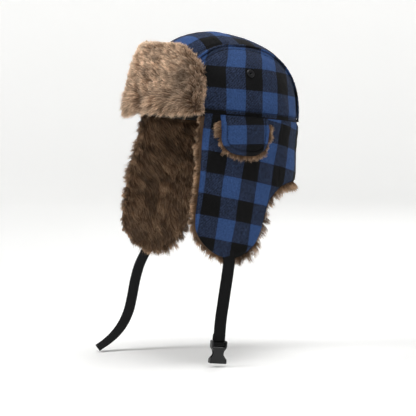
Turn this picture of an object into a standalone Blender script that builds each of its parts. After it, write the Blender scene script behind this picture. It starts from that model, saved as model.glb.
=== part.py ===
"""Trapper hat with a turned-up visor, two hanging ear flaps with lift-up ear covers, a neck curtain,
and two 15 mm straps, one of them carrying the female half of a side-release buckle.

Frame: metres, +Z up, front faces -Y, +X is the wearer's left. The origin is the middle of the head
opening, on the band. The hat sits tipped back by TILT, so the pieces are shaped level and then tipped;
the straps hang in the untipped frame.
"""
import math

import bmesh
import bpy
import numpy as np
from mathutils import Matrix, Vector

MM = 0.001
TILT = math.radians(5.0)          # the band is lower at the back by this angle

# head opening and crown, outer faces
A, B, H = 0.090, 0.110, 0.106     # half width, half length, height above the band
PLAN, ARCH = 2.1, 2.35            # how square the plan and the arches are (2 is an ellipse)
SEAM_X = 0.0525                   # where the side panels meet the centre panel
SEAM_GAP = 0.0005
BAND_GAP = 0.0005

# layers, as distances inward from the outer face of the fabric
SHELL = (0.0, 0.0012)
PADDING = (0.0016, 0.0044)
LINING = (0.0048, 0.0058)
SWEATBAND = (0.0076, 0.0090)
FUR = (0.0054, 0.0125)

# ear flaps: hem of the flap as (y, z), from the lower front corner round the tip to the split
FLAP_TOP = (-0.066, 0.0456)
FLAP_HEM = [(-77, -125), (-75.5, -143), (-67, -157), (-53, -168), (-38, -174), (-24, -175.5),
            (-10, -172), (2, -165.5), (13, -156), (22, -140), (28, -120), (35, -102), (45.6, -90)]
FLAP_AXIS_X = 0.0942              # ear flap fold line, outside the crown
FLAP_UP = 170.0
SPLIT_Y = 0.0464                  # the neck curtain starts here
CURTAIN_HEM = [(0.046, -0.090), (0.058, -0.082), (0.081, -0.076), (0.110, -0.075)]

# ear covers
COVER_Y, COVER_HALF, COVER_SIDE, COVER_DROP = -0.016, 0.034, 0.027, 0.022
COVER_FUR, COVER_SHELL = (-0.0050, -0.0010), (-0.0066, -0.0054)
COVER_AXIS_X = 0.0985

# visor, as distances outward from the crown's outer face
VISOR_SHELL, VISOR_PADDING, VISOR_FUR = (0.0027, 0.0039), (0.0043, 0.0068), (0.0072, 0.0145)
VISOR_AXIS = 0.0148
VISOR_JOIN_X, VISOR_END_Y = 0.036, -0.070
VISOR_TOP = 0.075
VISOR_LEAN = 0.115                # how far the visor's top leans back over the crown, as a share
VISOR_TRIM = 0.5                  # share of the mitre angle that the visor's sections are cut to
VISOR_DOWN = 160.0

# vent eyelets
EYELET_Y, EYELET_Z = -0.007, 0.053
EYELET_R, BARREL_R, VENT_R = 0.0055, 0.0024, 0.0015

# straps, 15 mm webbing
WEB_W, WEB_T = 0.015, 0.0013
STRAP_LEFT = [(93, -44.5, -177.4), (93, -48.0, -200), (93, -52.4, -225), (93, -57.0, -250),
              (93, -59.4, -274.0)]
STRAP_LEFT_ACROSS = (0.25, 0.968, 0.0)
STRAP_RIGHT = [(-93, -46, -177.4), (-93, -56, -195), (-93, -63, -215), (-93, -68, -236),
               (-93.3, -73, -254), (-94, -81, -270), (-95, -92, -283), (-95.5, -105, -292.5),
               (-96, -118.5, -299.5)]
STRAP_RIGHT_ACROSS = (0.9, 0.43, 0.0)

# buckle socket, in its own frame: x across, y through, z up, origin on its web bar
BAR_R = 0.0013
BUCKLE_T = 0.0086
POCKET_T = 0.0056
LOOP_R = 0.0019

DONE = []


def tip(p):
    """A point of the level hat, in the frame the hat sits in."""
    x, y, z = p
    c, s = math.cos(TILT), math.sin(TILT)
    return (x, y * c + z * s, z * c - y * s)


def power(v, m):
    return math.copysign(abs(v) ** (2.0 / m), v)


def half_width(y, d):
    """Plan half width at y of the outline that lies d inside the band."""
    return (A - d) * max(0.0, 1.0 - abs(y / (B - d)) ** PLAN) ** (1.0 / PLAN)


def smooth(v):
    v = min(1.0, max(0.0, v))
    return v * v * (3.0 - 2.0 * v)


def skirt_x(y, z, d, x_band=None):
    """Half width of the flaps and curtain at (y, z): round at the band, flat and flared lower down."""
    x_band = half_width(y, d) if x_band is None else x_band
    flat = 0.087 + 0.006 * (z / 0.175) ** 2 - 0.004 * ((y + 0.025) / 0.052) ** 2 - d
    w = smooth(-z / 0.09) * smooth((0.075 - y) / 0.045)
    return (1.0 - w) * x_band + w * flat


def crown_point(x, phi, d):
    """The crown d inside its outer face, on the slice at x, phi round the arch from front to back."""
    a, b, h = A - d, B - d, H - d
    rho = max(0.0, 1.0 - abs(x / a) ** PLAN) ** (1.0 / PLAN)
    z = h * rho * power(math.sin(phi), ARCH)
    return (x, -b * rho * power(math.cos(phi), ARCH), BAND_GAP + z * (h - BAND_GAP) / h)


def material(name, colour, rough=0.9, metal=0.0):
    m = bpy.data.materials.new(name)
    m.use_nodes = True
    b = m.node_tree.nodes["Principled BSDF"]
    b.inputs["Base Color"].default_value = (*colour, 1.0)
    b.inputs["Roughness"].default_value = rough
    b.inputs["Metallic"].default_value = metal
    return m


COLOURS = {
    "plaid": ((0.03, 0.06, 0.16), 0.95, 0.0),
    "fur": ((0.17, 0.10, 0.06), 1.0, 0.0),
    "wadding": ((0.75, 0.74, 0.70), 1.0, 0.0),
    "lining": ((0.02, 0.02, 0.025), 0.6, 0.0),
    "webbing": ((0.012, 0.012, 0.013), 0.85, 0.0),
    "plastic": ((0.015, 0.015, 0.016), 0.4, 0.0),
    "metal": ((0.02, 0.02, 0.022), 0.35, 1.0),
}


def finish(name, mesh, kind, origin=(0, 0, 0)):
    """Makes the node's object, with its origin on its joint."""
    mesh.transform(Matrix.Translation(-Vector(origin)))
    ob = bpy.data.objects.new(name, mesh)
    ob.location = origin
    ob.data.materials.append(material("mat_" + name, *COLOURS[kind]))
    HAT.objects.link(ob)
    DONE.append(ob)
    return ob


def loft(name, outer, inner, kind, origin=(0, 0, 0), closed=False, tipped=True):
    """A closed layer lofted between two grids of points; closed joins the grid's ends into a ring."""
    nu, nv = len(outer), len(outer[0])
    bm = bmesh.new()
    put = tip if tipped else (lambda p: p)
    top = [[bm.verts.new(put(p)) for p in row] for row in outer]
    low = [[bm.verts.new(put(p)) for p in row] for row in inner]
    spans = range(nu if closed else nu - 1)
    for i in spans:
        k = (i + 1) % nu
        for j in range(nv - 1):
            bm.faces.new((top[i][j], top[k][j], top[k][j + 1], top[i][j + 1]))
            bm.faces.new((low[i][j], low[i][j + 1], low[k][j + 1], low[k][j]))
        for j in (0, nv - 1):
            bm.faces.new((top[i][j], low[i][j], low[k][j], top[k][j]))
    if not closed:
        for i in (0, nu - 1):
            for j in range(nv - 1):
                bm.faces.new((top[i][j], top[i][j + 1], low[i][j + 1], low[i][j]))
    bmesh.ops.recalc_face_normals(bm, faces=bm.faces)
    mesh = bpy.data.meshes.new(name)
    bm.to_mesh(mesh)
    bm.free()
    return finish(name, mesh, kind, origin)


# ---------------------------------------------------------------- crown

ARCH_STEPS = 14


def centre_grid(d, steps=4):
    xs = [(-1.0 + 2.0 * j / steps) * (SEAM_X - SEAM_GAP) for j in range(steps + 1)]
    return [[crown_point(x, math.pi * i / ARCH_STEPS, d) for x in xs] for i in range(ARCH_STEPS + 1)]


def side_grid(side, d, steps=5):
    a = A - d
    start = (1.0 - ((SEAM_X + SEAM_GAP) / a) ** PLAN) ** (1.0 / PLAN)
    xs = []
    for j in range(steps + 1):
        rho = start + (0.03 - start) * j / steps
        xs.append(side * a * (1.0 - rho ** PLAN) ** (1.0 / PLAN))
    return [[crown_point(x, math.pi * i / ARCH_STEPS, d) for x in xs] for i in range(ARCH_STEPS + 1)]


def build_crown():
    layers = (("panel", SHELL, "plaid"), ("padding", PADDING, "wadding"), ("lining", LINING, "lining"))
    sides = {}
    for layer, (d0, d1), kind in layers:
        name = "crown_centre_panel" if layer == "panel" else f"crown_{layer}_centre"
        loft(name, centre_grid(d0), centre_grid(d1), kind)
        for side, word in ((1, "left"), (-1, "right")):
            name = f"crown_side_panel_{word}" if layer == "panel" else f"crown_{layer}_{word}"
            sides.setdefault(side, []).append(loft(name, side_grid(side, d0), side_grid(side, d1), kind))
    return sides


def build_welts():
    """The folded seams, raised over the joins between the crown's panels."""
    profile = [(-1.9, 0.35), (1.9, 0.35), (1.7, 1.3), (0.8, 1.9), (-0.8, 1.9), (-1.7, 1.3)]
    for side, word in ((1, "left"), (-1, "right")):
        rows = []
        for i in range(ARCH_STEPS + 1):
            phi = math.pi * i / ARCH_STEPS
            row = []
            for across, up in profile:
                row.append(crown_point(side * (SEAM_X + across * MM), phi, -up * MM))
            rows.append(row)
        bm = bmesh.new()
        vs = [[bm.verts.new(tip(p)) for p in row] for row in rows]
        n = len(profile)
        for i in range(ARCH_STEPS):
            for j in range(n):
                k = (j + 1) % n
                bm.faces.new((vs[i][j], vs[i + 1][j], vs[i + 1][k], vs[i][k]))
        bm.faces.new(vs[0])
        bm.faces.new(vs[-1][::-1])
        bmesh.ops.recalc_face_normals(bm, faces=bm.faces)
        name = f"crown_seam_welt_{word}"
        mesh = bpy.data.meshes.new(name)
        bm.to_mesh(mesh)
        bm.free()
        finish(name, mesh, "plaid")


def build_sweatband(steps=32):
    def ring(d):
        grid = []
        for i in range(steps):
            t = 2.0 * math.pi * i / steps
            row = []
            for z in (-0.004, 0.010, 0.026):
                f = (1.0 - (max(z, 0.0) / (H - d)) ** ARCH) ** (1.0 / ARCH)
                row.append((f * (A - d) * power(math.cos(t), PLAN), f * (B - d) * power(math.sin(t), PLAN), z))
            grid.append(row)
        return grid
    loft("sweatband", ring(SWEATBAND[0]), ring(SWEATBAND[1]), "lining", closed=True)


def surface_frame(side, y, z, d=0.0):
    """A frame on the crown's side, its z axis along the outward normal."""
    def at(y, z):
        zz = (z - BAND_GAP) * H / (H - BAND_GAP)
        rho = (abs(y / (B - d)) ** ARCH + abs(zz / (H - d)) ** ARCH) ** (1.0 / ARCH)
        return Vector((side * (A - d) * (1.0 - rho ** PLAN) ** (1.0 / PLAN), y, z))
    e = 1e-4
    p = at(y, z)
    n = (at(y + e, z) - at(y - e, z)).cross(at(y, z + e) - at(y, z - e)).normalized()
    n = n if n.x * side > 0 else -n
    p, n = Vector(tip(p)), Vector(tip(n))
    return Matrix.Translation(p) @ n.to_track_quat("Z", "Y").to_matrix().to_4x4()


def turned(name, profile, frame, kind, flip=False, steps=14):
    """A ring turned round its frame's z axis from a closed profile of (radius, height) in mm."""
    mesh = bpy.data.meshes.new(name)
    n = len(profile)
    mesh.from_pydata([(r * MM, 0, h * MM) for r, h in profile], [(i, (i + 1) % n) for i in range(n)], [])
    ob = finish(name, mesh, kind)
    ob.matrix_world = frame
    s = ob.modifiers.new("turn", "SCREW")
    s.angle, s.steps, s.render_steps, s.axis = 2 * math.pi, steps, steps, "Z"
    s.use_merge_vertices, s.merge_threshold, s.use_normal_calculate = True, 1e-5, True
    s.use_normal_flip = flip
    return ob


def build_vents(sides):
    """A rolled eyelet through each side panel, with its washer on the inside."""
    r, b, v = EYELET_R / MM, BARREL_R / MM, VENT_R / MM
    rim = [(v, 0.9), (v + 0.7, 1.5), (r - 1.2, 1.5), (r, 0.9), (r, 0.4), (b, 0.4), (b, -9.0), (v, -9.0)]
    washer = [(b + 0.4, -8.6), (r, -8.6), (r, -7.8), (b + 0.4, -7.8)]
    for side, word in ((1, "left"), (-1, "right")):
        frame = surface_frame(side, EYELET_Y, EYELET_Z)
        turned(f"vent_eyelet_{word}", rim, frame, "metal")
        turned(f"vent_washer_{word}", washer, frame, "metal", flip=True)
        bm = bmesh.new()
        bmesh.ops.create_cone(bm, cap_ends=True, segments=12, radius1=(b + 0.5) * MM,
                              radius2=(b + 0.5) * MM, depth=0.03)
        mesh = bpy.data.meshes.new(f"vent_cut_{word}")
        bm.to_mesh(mesh)
        bm.free()
        cut = bpy.data.objects.new(mesh.name, mesh)
        cut.matrix_world = frame
        cut.hide_render, cut.display_type = True, "WIRE"
        CUTTERS.objects.link(cut)
        for ob in sides[side]:
            m = ob.modifiers.new("vent", "BOOLEAN")
            m.operation, m.solver, m.object = "DIFFERENCE", "EXACT", cut


# ---------------------------------------------------------------- neck curtain and ear flaps

def heights(top, hem, drop, rows):
    """Heights from top down to drop below the hem, the ones between the same for every layer."""
    zs = [hem * j / rows for j in range(rows + 1)]
    zs[0], zs[-1] = top, hem - drop
    return zs


def curtain_grid(d, top, drop, steps=14, rows=5):
    """Round the back from one ear flap's split to the other's."""
    start = math.asin((SPLIT_Y / (B - d)) ** (PLAN / 2.0))
    grid = []
    for i in range(steps + 1):
        t = start + (math.pi - 2 * start) * i / steps
        y = (B - d) * abs(math.sin(t)) ** (2.0 / PLAN)
        x = (A - d) * power(math.cos(t), PLAN)
        hem = float(np.interp(y + d, [h[0] for h in CURTAIN_HEM], [h[1] for h in CURTAIN_HEM]))
        grid.append([(math.copysign(skirt_x(y, z, d, abs(x)), x), y, z)
                     for z in heights(top, hem, drop, rows)])
    return grid


def flap_grid(side, d, top, grow, rows=7):
    """An ear flap d inside its outer face, its edge grown outward by grow."""
    n = len(FLAP_HEM) - 1
    grid = []
    for i, (hy, hz) in enumerate(FLAP_HEM):
        y0 = FLAP_TOP[0] + (FLAP_TOP[1] - FLAP_TOP[0]) * i / n
        y1, z1 = hy * MM, hz * MM
        w = min(1.0, (FLAP_TOP[1] - y1) / 0.03)
        y1 += w * grow * (y1 + 0.024) / 0.05
        y0 += grow * min(0.0, (y0 + 0.036) / 0.03)
        row = []
        for z in heights(top, z1, grow, rows):
            y = y0 + (y1 - y0) * z / z1
            row.append((side * skirt_x(y, z, d), y, z))
        grid.append(row)
    return grid


def cover_grid(side, d, grow, steps=8, rows=3):
    grid = []
    for i in range(steps + 1):
        t = math.pi * i / steps
        y0 = COVER_Y - (COVER_HALF + grow) * math.cos(t)
        y1 = COVER_Y - (COVER_HALF + grow) * power(math.cos(t), 2.8)
        z1 = -(COVER_SIDE + (COVER_DROP + grow) * power(math.sin(t), 2.2))
        row = []
        for j in range(rows + 1):
            s = j / rows
            z = -0.003 + (z1 + 0.003) * s
            y = y0 + (y1 - y0) * s
            row.append((side * skirt_x(y, z, d), y, z))
        grid.append(row)
    return grid


def build_skirt():
    for layer, (d0, d1), kind, top, more in (("shell", SHELL, "plaid", -BAND_GAP, 0.0),
                                             ("padding", PADDING, "wadding", -BAND_GAP, -0.001),
                                             ("fur", FUR, "fur", -0.010, 0.003)):
        loft(f"neck_curtain_{layer}", curtain_grid(d0, top, more), curtain_grid(d1, top, more), kind)
        for side, word in ((1, "left"), (-1, "right")):
            axis = tip((side * FLAP_AXIS_X, COVER_Y, 0.0))
            loft(f"earflap_{layer}_{word}", flap_grid(side, d0, top, more),
                 flap_grid(side, d1, top, more), kind, axis)
    for side, word in ((1, "left"), (-1, "right")):
        axis = tip((side * COVER_AXIS_X, COVER_Y, -0.002))
        for layer, (d0, d1), kind, more in (("shell", COVER_SHELL, "plaid", 0.0),
                                            ("fur", COVER_FUR, "fur", 0.0025)):
            loft(f"ear_cover_{layer}_{word}", cover_grid(side, d0, more), cover_grid(side, d1, more),
                 kind, axis)


# ---------------------------------------------------------------- visor

def plan_point(t, o):
    """The plan outline o outside the band, at t round from the front's middle toward +X."""
    return np.array([(A + o) * power(math.sin(t), PLAN), -(B + o) * power(math.cos(t), PLAN)])


JOIN = np.array([VISOR_JOIN_X, -B * (1.0 - (VISOR_JOIN_X / A) ** PLAN) ** (1.0 / PLAN)])
END = np.array([half_width(VISOR_END_Y, 0.0), VISOR_END_Y])
CHORD = (END - JOIN) / np.linalg.norm(END - JOIN)
OUT = np.array([CHORD[1], -CHORD[0]])
MITRE = VISOR_TRIM * math.tan(0.5 * math.acos(CHORD[0]))


def angle_where(f, lo=0.02, hi=1.5):
    """The t where f(t) crosses 0, rising."""
    for _ in range(60):
        mid = 0.5 * (lo + hi)
        lo, hi = (mid, hi) if f(mid) < 0 else (lo, mid)
    return 0.5 * (lo + hi)


def visor_grid(part, o, top, steps, rows=4):
    end = angle_where(lambda t: (plan_point(t, o) - END) @ CHORD)
    join_c = angle_where(lambda t: plan_point(t, o)[0] - (VISOR_JOIN_X - 0.0004 + MITRE * o))
    join_s = angle_where(lambda t: (plan_point(t, o) - JOIN) @ CHORD - (0.0004 - MITRE * o))
    lo, hi = (-join_c, join_c) if part == 0 else (join_s, end)
    grid = []
    for i in range(steps + 1):
        t = lo + (hi - lo) * i / steps
        x, y = plan_point(abs(t), o) * (math.copysign(1.0, t) if part == 0 else 1, 1)
        left = (end - abs(t)) / end                       # 0 at the visor's end, 1 in its middle
        drop = 1.0 - min(1.0, max(0.0, left / 0.5))
        height = top * (1.0 - 0.38 * drop * drop)
        row = []
        for j in range(rows + 1):
            z = 0.001 + (height - 0.001) * j / rows
            lean = 1.0 - VISOR_LEAN * (z / 0.07) ** 1.8
            row.append(((x if part == 0 else part * x) * lean, y * lean, z))
        grid.append(row)
    return grid


def build_visor():
    for part, word, steps in ((0, "centre", 8), (1, "left", 6), (-1, "right", 6)):
        if part:
            p = JOIN + OUT * VISOR_AXIS
            axis = tip((part * p[0], p[1], 0.0))
        else:
            axis = tip((0.0, -(B + VISOR_AXIS), 0.0))
        for layer, (o0, o1), kind, more in (("shell", VISOR_SHELL, "plaid", 0.0),
                                            ("padding", VISOR_PADDING, "wadding", -0.001),
                                            ("fur", VISOR_FUR, "fur", 0.004)):
            loft(f"visor_{layer}_{word}", visor_grid(part, o1, VISOR_TOP + more, steps),
                 visor_grid(part, o0, VISOR_TOP + more, steps), kind, axis)


# ---------------------------------------------------------------- straps and buckle

def strap(name, route, across, origin, slant=0.0):
    """Flat webbing swept along route, its width kept as near to across as the route allows."""
    pts = [Vector(p) * MM for p in route]
    grids = [[], []]
    for i, p in enumerate(pts):
        run = (pts[min(i + 1, len(pts) - 1)] - pts[max(i - 1, 0)]).normalized()
        w = Vector(across)
        w = (w - run * w.dot(run)).normalized()
        n = run.cross(w)
        for grid, f in zip(grids, (0.5, -0.5)):
            q = p + n * f * WEB_T
            cut = run * slant if i == len(pts) - 1 else Vector((0, 0, 0))
            grid.append([tuple(q - w * WEB_W / 2 - cut), tuple(q + w * WEB_W / 2 + cut)])
    return loft(name, grids[0], grids[1], "webbing", origin, tipped=False)


def buckle_frame():
    """The buckle's frame: origin on its web bar, z up the strap, x along the strap's width."""
    end, before = Vector(STRAP_LEFT[-1]) * MM, Vector(STRAP_LEFT[-2]) * MM
    up = (before - end).normalized()
    x = Vector(STRAP_LEFT_ACROSS)
    x = (x - up * x.dot(up)).normalized()
    y = up.cross(x)
    origin = end - up * 0.0034
    m = Matrix((x, y, up)).transposed().to_4x4()
    return Matrix.Translation(origin) @ m


def build_loop(frame, origin):
    """The strap's end, led round the buckle's bar and sewn back on itself."""
    r0, r1 = LOOP_R, LOOP_R + WEB_T
    path = [(-r0, 0.0029)]
    for i in range(9):
        a = math.pi + math.pi * i / 8
        path.append((r0 * math.cos(a), r0 * math.sin(a)))
    path += [(r0, 0.004), (r0 - 0.0004, 0.008), (r0 - 0.0005, 0.0125)]
    outer = [(-r1, 0.0029)]
    for i in range(9):
        a = math.pi + math.pi * i / 8
        outer.append((r1 * math.cos(a), r1 * math.sin(a)))
    outer += [(r1, 0.004), (r1 - 0.0004, 0.008), (r1 - 0.0005, 0.0125)]
    def grid(points):
        return [[tuple(frame @ Vector((s * WEB_W / 2, y, z))) for s in (-1, 1)] for y, z in points]
    loft("strap_left_buckle_loop", grid(outer), grid(path), "webbing", origin, tipped=False)


def box(name, size, centre, frame, collection=None):
    bm = bmesh.new()
    bmesh.ops.create_cube(bm, size=1.0)
    bmesh.ops.scale(bm, vec=size, verts=bm.verts)
    bmesh.ops.translate(bm, vec=centre, verts=bm.verts)
    mesh = bpy.data.meshes.new(name)
    bm.to_mesh(mesh)
    bm.free()
    ob = bpy.data.objects.new(name, mesh)
    ob.matrix_world = frame
    (collection or CUTTERS).objects.link(ob)
    ob.hide_render, ob.display_type = True, "WIRE"
    return ob


def build_buckle(frame):
    """Socket half of a side-release buckle: a waisted, flared housing with a pocket, two side windows
    and a web bar."""
    half = [(9.3, 5.0), (10.0, 4.0), (10.0, -2.0), (9.3, -4.2), (7.0, -7.4), (6.3, -10.0), (6.5, -12.4),
            (8.6, -15.4), (10.5, -17.6), (10.9, -19.6), (10.8, -23.0)]
    outline = half + [(-x, z) for x, z in half[::-1]]
    bm = bmesh.new()
    faces = []
    for y in (-BUCKLE_T / 2, BUCKLE_T / 2):
        vs = [bm.verts.new((x * MM, y, z * MM)) for x, z in outline]
        faces.append(vs)
        bm.faces.new(vs)
    n = len(outline)
    for i in range(n):
        k = (i + 1) % n
        bm.faces.new((faces[0][i], faces[0][k], faces[1][k], faces[1][i]))
    bmesh.ops.recalc_face_normals(bm, faces=bm.faces)
    mesh = bpy.data.meshes.new("buckle_socket")
    bm.to_mesh(mesh)
    bm.free()
    ob = finish("buckle_socket", mesh, "plastic")
    ob.matrix_world = frame
    bevel = ob.modifiers.new("edges", "BEVEL")
    bevel.width, bevel.segments, bevel.limit_method = 0.0009, 2, "ANGLE"
    bevel.angle_limit = math.radians(60)
    cuts = [
        ("cut_pocket", (0.0186, POCKET_T, 0.0182), (0, 0, -0.0159), 1),
        ("cut_slot", (0.0163, 0.02, 0.0101), (0, 0, 0.0015), 1),
        ("cut_window", (0.040, POCKET_T - 0.0006, 0.0070), (0, 0, -0.0104), 1),
    ]
    for name, size, centre, _ in cuts:
        c = box(name, size, centre, frame)
        m = ob.modifiers.new(name, "BOOLEAN")
        m.operation, m.solver, m.object = "DIFFERENCE", "EXACT", c
    bm = bmesh.new()
    bmesh.ops.create_cone(bm, cap_ends=True, segments=12, radius1=BAR_R, radius2=BAR_R, depth=0.0178)
    bmesh.ops.rotate(bm, cent=(0, 0, 0), matrix=Matrix.Rotation(math.pi / 2, 3, "Y"), verts=bm.verts)
    mesh = bpy.data.meshes.new("web_bar")
    bm.to_mesh(mesh)
    bm.free()
    bar = bpy.data.objects.new("web_bar", mesh)
    bar.matrix_world = frame
    bar.hide_render, bar.display_type = True, "WIRE"
    CUTTERS.objects.link(bar)
    m = ob.modifiers.new("web_bar", "BOOLEAN")
    m.operation, m.solver, m.object = "UNION", "EXACT", bar


def build_straps():
    frame = buckle_frame()
    left, right = (0.079, -0.0445, -0.1772), (-0.079, -0.046, -0.1772)
    strap("strap_left", STRAP_LEFT, STRAP_LEFT_ACROSS, left)
    build_loop(frame, left)
    build_buckle(frame)
    strap("strap_right", STRAP_RIGHT, STRAP_RIGHT_ACROSS, right, slant=0.0022)


for old in list(bpy.data.objects):
    bpy.data.objects.remove(old, do_unlink=True)
HAT = bpy.data.collections.new("trapper_hat")
CUTTERS = bpy.data.collections.new("cutters")
bpy.context.scene.collection.children.link(HAT)
bpy.context.scene.collection.children.link(CUTTERS)

panels = build_crown()
build_welts()
build_sweatband()
build_vents(panels)
build_skirt()
build_visor()
build_straps()
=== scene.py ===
"""Looks of the trapper hat: check flannel, faux fur, webbing straps and a buckle socket."""
import math

import bmesh
import bpy
import numpy as np
from mathutils import Matrix, Vector


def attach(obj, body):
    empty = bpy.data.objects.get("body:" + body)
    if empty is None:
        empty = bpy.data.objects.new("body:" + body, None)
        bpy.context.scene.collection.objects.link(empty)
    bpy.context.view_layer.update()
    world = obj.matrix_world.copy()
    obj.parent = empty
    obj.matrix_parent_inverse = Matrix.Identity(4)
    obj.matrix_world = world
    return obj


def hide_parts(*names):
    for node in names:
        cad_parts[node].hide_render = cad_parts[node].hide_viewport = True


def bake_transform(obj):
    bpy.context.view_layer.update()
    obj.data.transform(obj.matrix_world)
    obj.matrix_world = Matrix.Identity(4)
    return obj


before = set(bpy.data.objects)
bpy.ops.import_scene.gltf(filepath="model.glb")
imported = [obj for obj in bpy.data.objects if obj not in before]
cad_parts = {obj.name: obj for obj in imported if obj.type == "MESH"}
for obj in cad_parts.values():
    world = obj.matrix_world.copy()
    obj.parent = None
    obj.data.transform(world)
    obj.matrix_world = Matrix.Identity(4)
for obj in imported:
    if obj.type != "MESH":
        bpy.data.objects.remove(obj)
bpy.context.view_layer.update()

# the hat leans back by TILT; A, B and H are the crown's half width, half depth and height above the band,
# PLAN and ARCH the powers of its outline from above and from the side, SEAM_X where its seams run
MM = 0.001
TILT = math.radians(5.0)
A, B, H = 0.090, 0.110, 0.106
PLAN, ARCH = 2.1, 2.35
SEAM_X = 0.0525

# width of a pair of check stripes: round the crown, and up it on each part
STRIPES, ROWS, ROWS_CENTRE, ROWS_LEFT = 0.0506, 0.0514, 0.0520, 0.0552

# ---------------------------------------------------------------- camera, stage and light

CAM_AZ, CAM_DIST, CAM_Z = math.radians(55.09), 2.2, 0.027
CAM_DOWN, CAM_YAW = math.radians(3.75), math.radians(0.24)
cam_data = bpy.data.cameras.new("camera")
cam_data.lens, cam_data.sensor_width = 149.0, 36.0
cam = bpy.data.objects.new("camera", cam_data)
bpy.context.scene.collection.objects.link(cam)
cam.location = (CAM_DIST * math.sin(CAM_AZ), -CAM_DIST * math.cos(CAM_AZ), CAM_Z)
cam.rotation_euler = (math.pi / 2 - CAM_DOWN, 0.0, CAM_AZ + CAM_YAW)
bpy.context.scene.camera = cam
bpy.context.scene.view_settings.view_transform = "Standard"


def new_material(name):
    m = bpy.data.materials.new(name)
    m.use_nodes = True
    return m, m.node_tree, m.node_tree.nodes["Principled BSDF"]


def link(tree, a, b):
    tree.links.new(a, b)


def math_node(tree, op, a, b=None, clamp=False, c=None):
    n = tree.nodes.new("ShaderNodeMath")
    n.operation, n.use_clamp = op, clamp
    for i, v in enumerate((a, b, c)):
        if v is None:
            continue
        if isinstance(v, (int, float)):
            n.inputs[i].default_value = v
        else:
            tree.links.new(v, n.inputs[i])
    return n.outputs[0]


def times(tree, a, b, clamp=False):
    return math_node(tree, "MULTIPLY", a, b, clamp)


def times_plus(tree, a, b, c, clamp=False):
    return math_node(tree, "MULTIPLY_ADD", a, b, clamp, c)


def noise(tree, vector, scale, detail=2.0, rough=0.5):
    n = tree.nodes.new("ShaderNodeTexNoise")
    n.inputs["Scale"].default_value = scale
    n.inputs["Detail"].default_value = detail
    n.inputs["Roughness"].default_value = rough
    tree.links.new(vector, n.inputs["Vector"])
    return n.outputs["Fac"]


def mix_colour(tree, fac, a, b, mode="MIX"):
    n = tree.nodes.new("ShaderNodeMix")
    n.data_type, n.blend_type = "RGBA", mode
    for i, v in ((0, fac), (6, a), (7, b)):
        if isinstance(v, (int, float)):
            n.inputs[i].default_value = v
        elif isinstance(v, tuple):
            n.inputs[i].default_value = (*v, 1.0) if len(v) == 3 else v
        else:
            tree.links.new(v, n.inputs[i])
    return n.outputs[2]


def uv_parts(tree, layer):
    """The two coordinates of a UV map."""
    uv = tree.nodes.new("ShaderNodeUVMap")
    uv.uv_map = layer
    sep = tree.nodes.new("ShaderNodeSeparateXYZ")
    link(tree, uv.outputs[0], sep.inputs[0])
    return sep.outputs[0], sep.outputs[1]


def shaded(tree, colour, value):
    """A colour multiplied by a grey value."""
    grey = tree.nodes.new("ShaderNodeCombineColor")
    for i in range(3):
        link(tree, value, grey.inputs[i])
    return mix_colour(tree, 1.0, colour, grey.outputs[0], "MULTIPLY")


def settings(shader, rough=None, spec=None, sheen=None, metal=None):
    """Sets the numbers that are the same all over a surface."""
    for name, value in (("Roughness", rough), ("Specular IOR Level", spec), ("Sheen Weight", sheen),
                        ("Metallic", metal)):
        if value is not None:
            shader.inputs[name].default_value = value


def bump(tree, height, strength, distance, shader):
    n = tree.nodes.new("ShaderNodeBump")
    n.inputs["Strength"].default_value = strength
    n.inputs["Distance"].default_value = distance
    tree.links.new(height, n.inputs["Height"])
    tree.links.new(n.outputs[0], shader.inputs["Normal"])


def object_coords(tree):
    return tree.nodes.new("ShaderNodeTexCoord").outputs["Object"]


BLUE, BLACK, MIXED = (0.0330, 0.0712, 0.188), (0.0055, 0.0055, 0.0058), (0.032, 0.050, 0.106)


def check_material():
    """Brushed check flannel: the UV map counts stripe pairs."""
    m, t, s = new_material("check_flannel")
    obj = object_coords(t)
    along = uv_parts(t, "checks")
    fuzz = times_plus(t, noise(t, obj, 1400.0, 3.0), 0.030, -0.015)
    stripes = []
    for count in along:
        v = math_node(t, "ADD", count, fuzz)
        wave = math_node(t, "SINE", times(t, v, 2 * math.pi))
        stripes.append(times_plus(t, wave, 14.0, 0.5, True))
    both = times(t, stripes[0], stripes[1])
    total = math_node(t, "ADD", stripes[0], stripes[1])
    one = math_node(t, "SUBTRACT", total, times(t, both, 2.0), True)
    diagonal = math_node(t, "SUBTRACT", *along)
    twill = math_node(t, "SINE", times(t, diagonal, 2 * math.pi * 14.0))
    part = times_plus(t, twill, 0.14, -0.45)
    part = times_plus(t, noise(t, obj, 480.0, 2.0, 0.75), 1.9, part)
    colour = mix_colour(t, times(t, one, part, True), BLACK, MIXED)
    colour = mix_colour(t, both, colour, BLUE)
    wool = times_plus(t, noise(t, obj, 520.0, 3.0, 0.75), 1.90, 0.05)
    worn = times_plus(t, noise(t, obj, 28.0, 2.0), 0.30, 0.86)
    link(t, shaded(t, colour, times(t, wool, worn)), s.inputs["Base Color"])
    settings(s, rough=0.93, spec=0.10, sheen=0.02)
    s.inputs["Sheen Roughness"].default_value = 0.5
    height = times_plus(t, twill, 0.16, noise(t, obj, 1800.0, 3.0, 0.7))
    height = times_plus(t, noise(t, obj, 260.0, 3.0), 0.9, height)
    bump(t, height, 0.55, 0.00035, s)
    return m


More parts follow.
